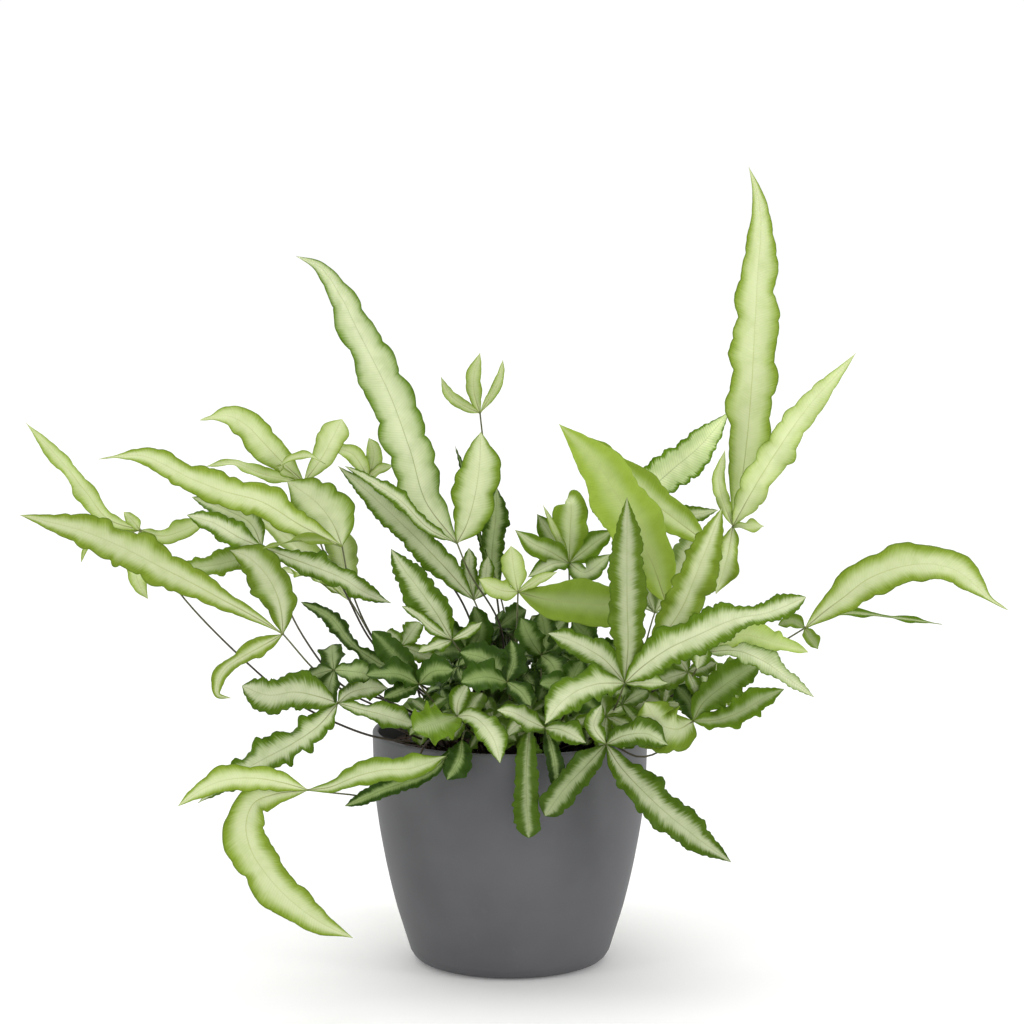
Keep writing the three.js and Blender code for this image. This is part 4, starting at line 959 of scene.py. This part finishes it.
class Shader:
    """Short calls that add nodes to one new material and join them up."""

    def __init__(self, name):
        self.material = bpy.data.materials.new(name)
        self.material.use_nodes = True
        self.nodes = self.material.node_tree.nodes
        self.links = self.material.node_tree.links
        self.surface = self.nodes["Principled BSDF"]

    def add(self, kind, inputs=(), output=0, **settings):
        node = self.nodes.new("ShaderNode" + kind)
        for key, value in settings.items():
            setattr(node, key, value)
        for key, value in dict(inputs).items():
            self.join(value, node.inputs[key])
        return node.outputs[output]

    def join(self, value, socket):
        if isinstance(value, bpy.types.NodeSocket):
            self.links.new(value, socket)
        else:
            socket.default_value = value

    def value(self, name):
        """A value kept on the mesh's vertices."""
        return self.add("Attribute", output="Fac", attribute_name=name)

    def math(self, operation, *values):
        return self.add("Math", dict(enumerate(values)), operation=operation)

    def times(self, a, b):
        return self.math("MULTIPLY", a, b)

    def step(self, value, low, high, to_low=0, to_high=1):
        """Smoothly from one value to another as value goes from low to high."""
        inputs = {"Value": value, "From Min": low, "From Max": high, "To Min": to_low, "To Max": to_high}
        return self.add("MapRange", inputs, interpolation_type="SMOOTHSTEP")

    def mix(self, share, a, b):
        """A mix of two colours, each a socket, its values or the name of one of the colours above."""
        node = self.nodes.new("ShaderNodeMix")
        node.data_type = "RGBA"
        colours = [socket for socket in node.inputs if socket.type == "RGBA"]
        self.join(share, node.inputs[0])
        for colour, socket in zip((a, b), colours):
            self.join(linear(COLOURS[colour]) if isinstance(colour, str) else colour, socket)
        return next(socket for socket in node.outputs if socket.type == "RGBA")

    def over(self, colour, *layers):
        """Lays others over a colour, each as value, low, high, how much shows at low and at high, colour."""
        for *step, other in layers:
            colour = self.mix(self.step(*step), colour, other)
        return colour

    def between(self, share, pair):
        """A mix of the two colours of one of the pairs."""
        return self.mix(share, *(linear(colour) for colour in PAIRS[pair]))

    def aged(self, name):
        """One of the leaves' colours, as it is at the leaflet's age."""
        young, ripe, dark = (linear(colour) for colour in AGED_COLOURS[name])
        age = self.value("age")
        return self.mix(self.step(age, 1, 2), self.mix(self.step(age, 0, 1), young, ripe), dark)

    def brighter(self, colour, share):
        """A colour times a number."""
        inputs = {"Vector": colour, "Scale": share}
        return self.add("VectorMath", inputs, output="Vector", operation="SCALE")

    def noise(self, vector, scale, detail=3, rough=0.5):
        inputs = {"Vector": vector, "Scale": scale, "Detail": detail, "Roughness": rough}
        return self.add("TexNoise", inputs, output="Fac")

    def place(self):
        """The surface's own place, in metres."""
        return self.add("TexCoord", output="Object")

    def vector(self, x, y, z):
        return self.add("CombineXYZ", {"X": x, "Y": y, "Z": z})

    def bump(self, height, strength, distance):
        inputs = {"Height": height, "Strength": strength, "Distance": distance}
        self.links.new(self.add("Bump", inputs), self.surface.inputs["Normal"])

    def finish(self, **inputs):
        for key, value in inputs.items():
            self.join(value, self.surface.inputs[key.replace("_", " ")])
        return self.material


def leaf_noises(s, vein, along, across, far):
    """Streaks and fine lines along the side veins, a slow change along the leaflet, and its blotches."""
    own = s.math("MULTIPLY_ADD", s.value("seed"), 91.0, s.math("SIGN", across))
    streak = s.noise(s.vector(s.times(vein, 1.5), s.times(far, 0.9), own), 1, 3, 0.6)
    fine = s.noise(s.vector(s.times(vein, 3.2), s.times(far, 2.0), own), 1, 2)
    slow = s.noise(s.vector(s.times(along, 0.09), own, 3.0), 1, 1)
    blotch = s.noise(s.vector(s.times(along, 0.16), s.times(across, 1.4), own), 1, 3)
    return streak, fine, slow, blotch


def leaf_edge(s, far, share, border, fine, blotch, margin, plain):
    """The green of the margins: plainer next to the pale middle, darker at the edge and at a ripe tip."""
    start, end = s.math("ADD", border, 0.02), s.math("ADD", border, 0.34)
    edge = s.over(
        margin, (far, start, end, 0.45, 0, plain), (blotch, 0.35, 0.7, 0, 0.3, plain),
        (fine, 0.35, 0.75, 0, 0.16, "leaf_streak"), (far, 0.88, 1, 0, 0.4, "leaf_edge"),
    )
    tip = s.times(s.step(share, 0.8, 1, 0, 0.5), s.step(s.value("age"), 0.7, 1.1))
    return s.mix(tip, edge, "leaf_tip")


def foliage(slot):
    """A waxy blade: a pale middle, green margins that run into it along the side veins, and a fine midrib."""
    s = Shader(slot)
    margin, centre, plain, rib_colour = (s.aged(name) for name in AGED_COLOURS)
    across, along, share = (s.value(key) for key in ("across", "along", "share"))
    far = s.math("ABSOLUTE", across)
    out = s.times(far, s.value("half"))
    vein = s.math("MULTIPLY_ADD", out, -VEIN_SLANT, along)
    streak, fine, slow, blotch = leaf_noises(s, vein, along, across, far)

    spread = s.times(s.math("SUBTRACT", streak, 0.5), s.value("feather"))
    drift = s.times(s.math("SUBTRACT", slow, 0.5), 0.34)
    border = s.math("ADD", s.math("MULTIPLY_ADD", spread, 1.9, s.value("cream")), drift)
    soft = s.value("soft")
    green = s.step(far, s.math("SUBTRACT", border, soft), s.math("ADD", border, soft))
    edge = leaf_edge(s, far, share, border, fine, blotch, margin, plain)
    middle = s.over(
        centre, (far, 0.1, 0.75, 0, 0.38, plain), (fine, 0.4, 0.75, 0, 0.07, plain),
        (blotch, 0.4, 0.75, 0, 0.2, plain),
    )
    all_green = s.over(
        plain, (fine, 0.3, 0.7, 0, 0.12, margin), (blotch, 0.35, 0.75, 0, 0.35, margin),
        (far, 0, 0.7, 0.3, 0, centre),
    )
    colour = s.mix(s.value("plain"), s.mix(green, middle, edge), all_green)

    rib = s.times(s.step(out, 0.12, 0.36, 0.72, 0), s.step(share, 0.15, 0.75, 1, 0.4))
    colour = s.mix(rib, colour, s.mix(s.step(share, 0.0, 0.3), "leaf_stalk", rib_colour))
    wave = s.math("SINE", s.times(vein, 2 * math.pi / VEIN_GAP))
    clear = s.times(s.value("veins"), s.step(slow, 0.35, 0.65, 0.5, 1))
    colour = s.mix(s.times(s.step(wave, 0.3, 1.0), clear), colour, margin)
    colour = s.mix(s.times(s.value("under"), 0.25), colour, "leaf_under")
    s.bump(s.math("ADD", s.times(wave, 0.5), s.times(fine, 0.8)), 0.3, 0.12 * MM)
    return s.finish(
        Base_Color=s.brighter(colour, s.value("tone")), Roughness=s.step(fine, 0.2, 0.8, 0.42, 0.6),
        Specular_IOR_Level=0.14, Subsurface_Weight=0.12, Subsurface_Radius=(0.7, 1.0, 0.3),
        Subsurface_Scale=0.6 * MM,
    )


def stem_finish():
    """Wiry, glossy dark brown, greener towards the crown, with fine marks along it."""
    s = Shader("stipe_bark")
    marks = s.noise(s.place(), 900, 3)
    spots = s.step(marks, 0.35, 0.7)
    green = s.step(s.value("up"), 0.55, 1.0, 0, 0.75)
    colour = s.mix(green, s.between(spots, "stipe_dark"), s.between(spots, "stipe_green"))
    s.bump(marks, 0.3, 0.1 * MM)
    return s.finish(Base_Color=colour, Roughness=s.step(marks, 0.3, 0.7, 0.32, 0.5), Specular_IOR_Level=0.5)


def pot_finish():
    """Moulded matte grey plastic with a very fine grain, faint flow marks and a little dust."""
    s = Shader("pot_plastic")
    place = s.place()
    flow = s.noise(place, 26, 3)
    dust = s.noise(place, 180, 4, 0.6)
    colour = s.over(s.between(s.step(flow, 0.3, 0.7), "pot"), (dust, 0.62, 0.8, 0, 0.16, "pot_dust"))
    s.bump(s.noise(place, 2600, 2), 0.16, 0.05 * MM)
    return s.finish(Base_Color=colour, Roughness=s.step(flow, 0.3, 0.7, 0.46, 0.54), Specular_IOR_Level=0.14)


def soil_finish():
    """Damp dark potting mix, from nearly black peat to brown fibre."""
    s = Shader("soil_peat")
    place = s.place()
    lumps = s.noise(place, 420, 5, 0.65)
    grit = s.noise(place, 1500, 3, 0.6)
    colour = s.over(s.between(s.step(lumps, 0.3, 0.7), "peat"), (grit, 0.6, 0.78, 0, 0.6, "soil_fibre"))
    s.bump(s.math("ADD", lumps, s.times(grit, 0.5)), 0.8, 0.6 * MM)
    return s.finish(Base_Color=colour, Roughness=s.step(lumps, 0.3, 0.7, 0.75, 0.98), Specular_IOR_Level=0.3)


def crumb_finish():
    """Crumbs that run from dark peat to brown bark, with a few pale grains among them."""
    s = Shader("soil_crumb")
    tint = s.value("tint")
    grit = s.noise(s.place(), 1400, 4, 0.6)
    dark, grain = (grit, 0.35, 0.7, 0, 1, "crumb_dark"), (tint, 0.955, 0.965, 0, 1, "crumb_grain")
    colour = s.over(s.between(tint, "bark"), dark, grain)
    s.bump(grit, 0.7, 0.3 * MM)
    return s.finish(Base_Color=colour, Roughness=s.step(grit, 0.3, 0.7, 0.8, 1), Specular_IOR_Level=0.3)


# ---------------------------------------------------------------- studio

def put(name, data, place=(0, 0, 0), way=None):
    """A new object of the studio, turned so that it looks along a way."""
    made = bpy.data.objects.new(name, data)
    made.location = place
    if way is not None:
        made.rotation_euler = Vector(way).to_track_quat("-Z", "Y").to_euler()
    bpy.context.scene.collection.objects.link(made)
    return made


def make_floor():
    """A wide pale floor that runs out of the picture."""
    s = Shader("floor_white")
    mottle = s.noise(s.place(), 3, 2)
    s.finish(Base_Color=s.mix(mottle, (0.9, 0.9, 0.89, 1), (0.92, 0.92, 0.91, 1)), Roughness=0.9,
             Emission_Color=(1, 1, 1, 1), Emission_Strength=0.1)
    data = bpy.data.meshes.new("floor")
    corners = [(x * FLOOR_REACH, y * FLOOR_REACH, 0) for x, y in ((-1, -1), (1, -1), (1, 1), (-1, 1))]
    data.from_pydata(corners, [], [(0, 1, 2, 3)])
    data.materials.append(s.material)
    floor = put("floor", data)


def make_light():
    """A white room: even light all round, a soft sun from above and a little behind, and two tall boxes."""
    world = bpy.data.worlds.new("studio")
    world.use_nodes = True
    nodes, links = world.node_tree.nodes, world.node_tree.links
    seen, lit = nodes["Background"], nodes.new("ShaderNodeBackground")
    for background, strength in ((seen, ROOM_SEEN), (lit, ROOM_LIGHT)):
        background.inputs["Color"].default_value = (1, 1, 1, 1)
        background.inputs["Strength"].default_value = strength
    mix = nodes.new("ShaderNodeMixShader")
    links.new(nodes.new("ShaderNodeLightPath").outputs["Is Camera Ray"], mix.inputs["Fac"])
    links.new(lit.outputs[0], mix.inputs[1])
    links.new(seen.outputs[0], mix.inputs[2])
    links.new(mix.outputs[0], nodes["World Output"].inputs["Surface"])
    bpy.context.scene.world = world
    sun = bpy.data.lights.new("soft_sun", "SUN")
    sun.energy, sun.angle = SUN_STRENGTH, SUN_WIDTH
    put("soft_sun", sun, way=SUN_WAY)
    for name, place, power in BOXES:
        box = bpy.data.lights.new(name, "AREA")
        box.shape = "RECTANGLE"
        box.size, box.size_y = BOX_SIZE
        box.energy = power
        put(name, box, place, Vector(BOX_TARGET) - Vector(place))


def make_camera():
    """The camera at the eye that the plant's points are measured from."""
    data = bpy.data.cameras.new("camera")
    data.sensor_width = SENSOR
    data.lens = SENSOR * EYE_DISTANCE / PICTURE_SCALE / PICTURE_SIDE
    data.clip_end = 50
    bpy.context.scene.camera = put("camera", data, EYE * MM, FORWARD)


def main():
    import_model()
    bpy.context.scene.view_settings.view_transform = "Standard"
    make_camera()
    make_light()
    make_floor()
    materials = {age: foliage(f"{age}_foliage") for age in LOOK}
    materials |= {"stipe": stem_finish(), "soil": soil_finish(), "crumbs": crumb_finish()}
    make_pot(pot_finish())
    make_soil(materials)
    for number, row in enumerate(FRONDS):
        make_frond(number, row, materials)
    make_undergrowth(materials)


main()
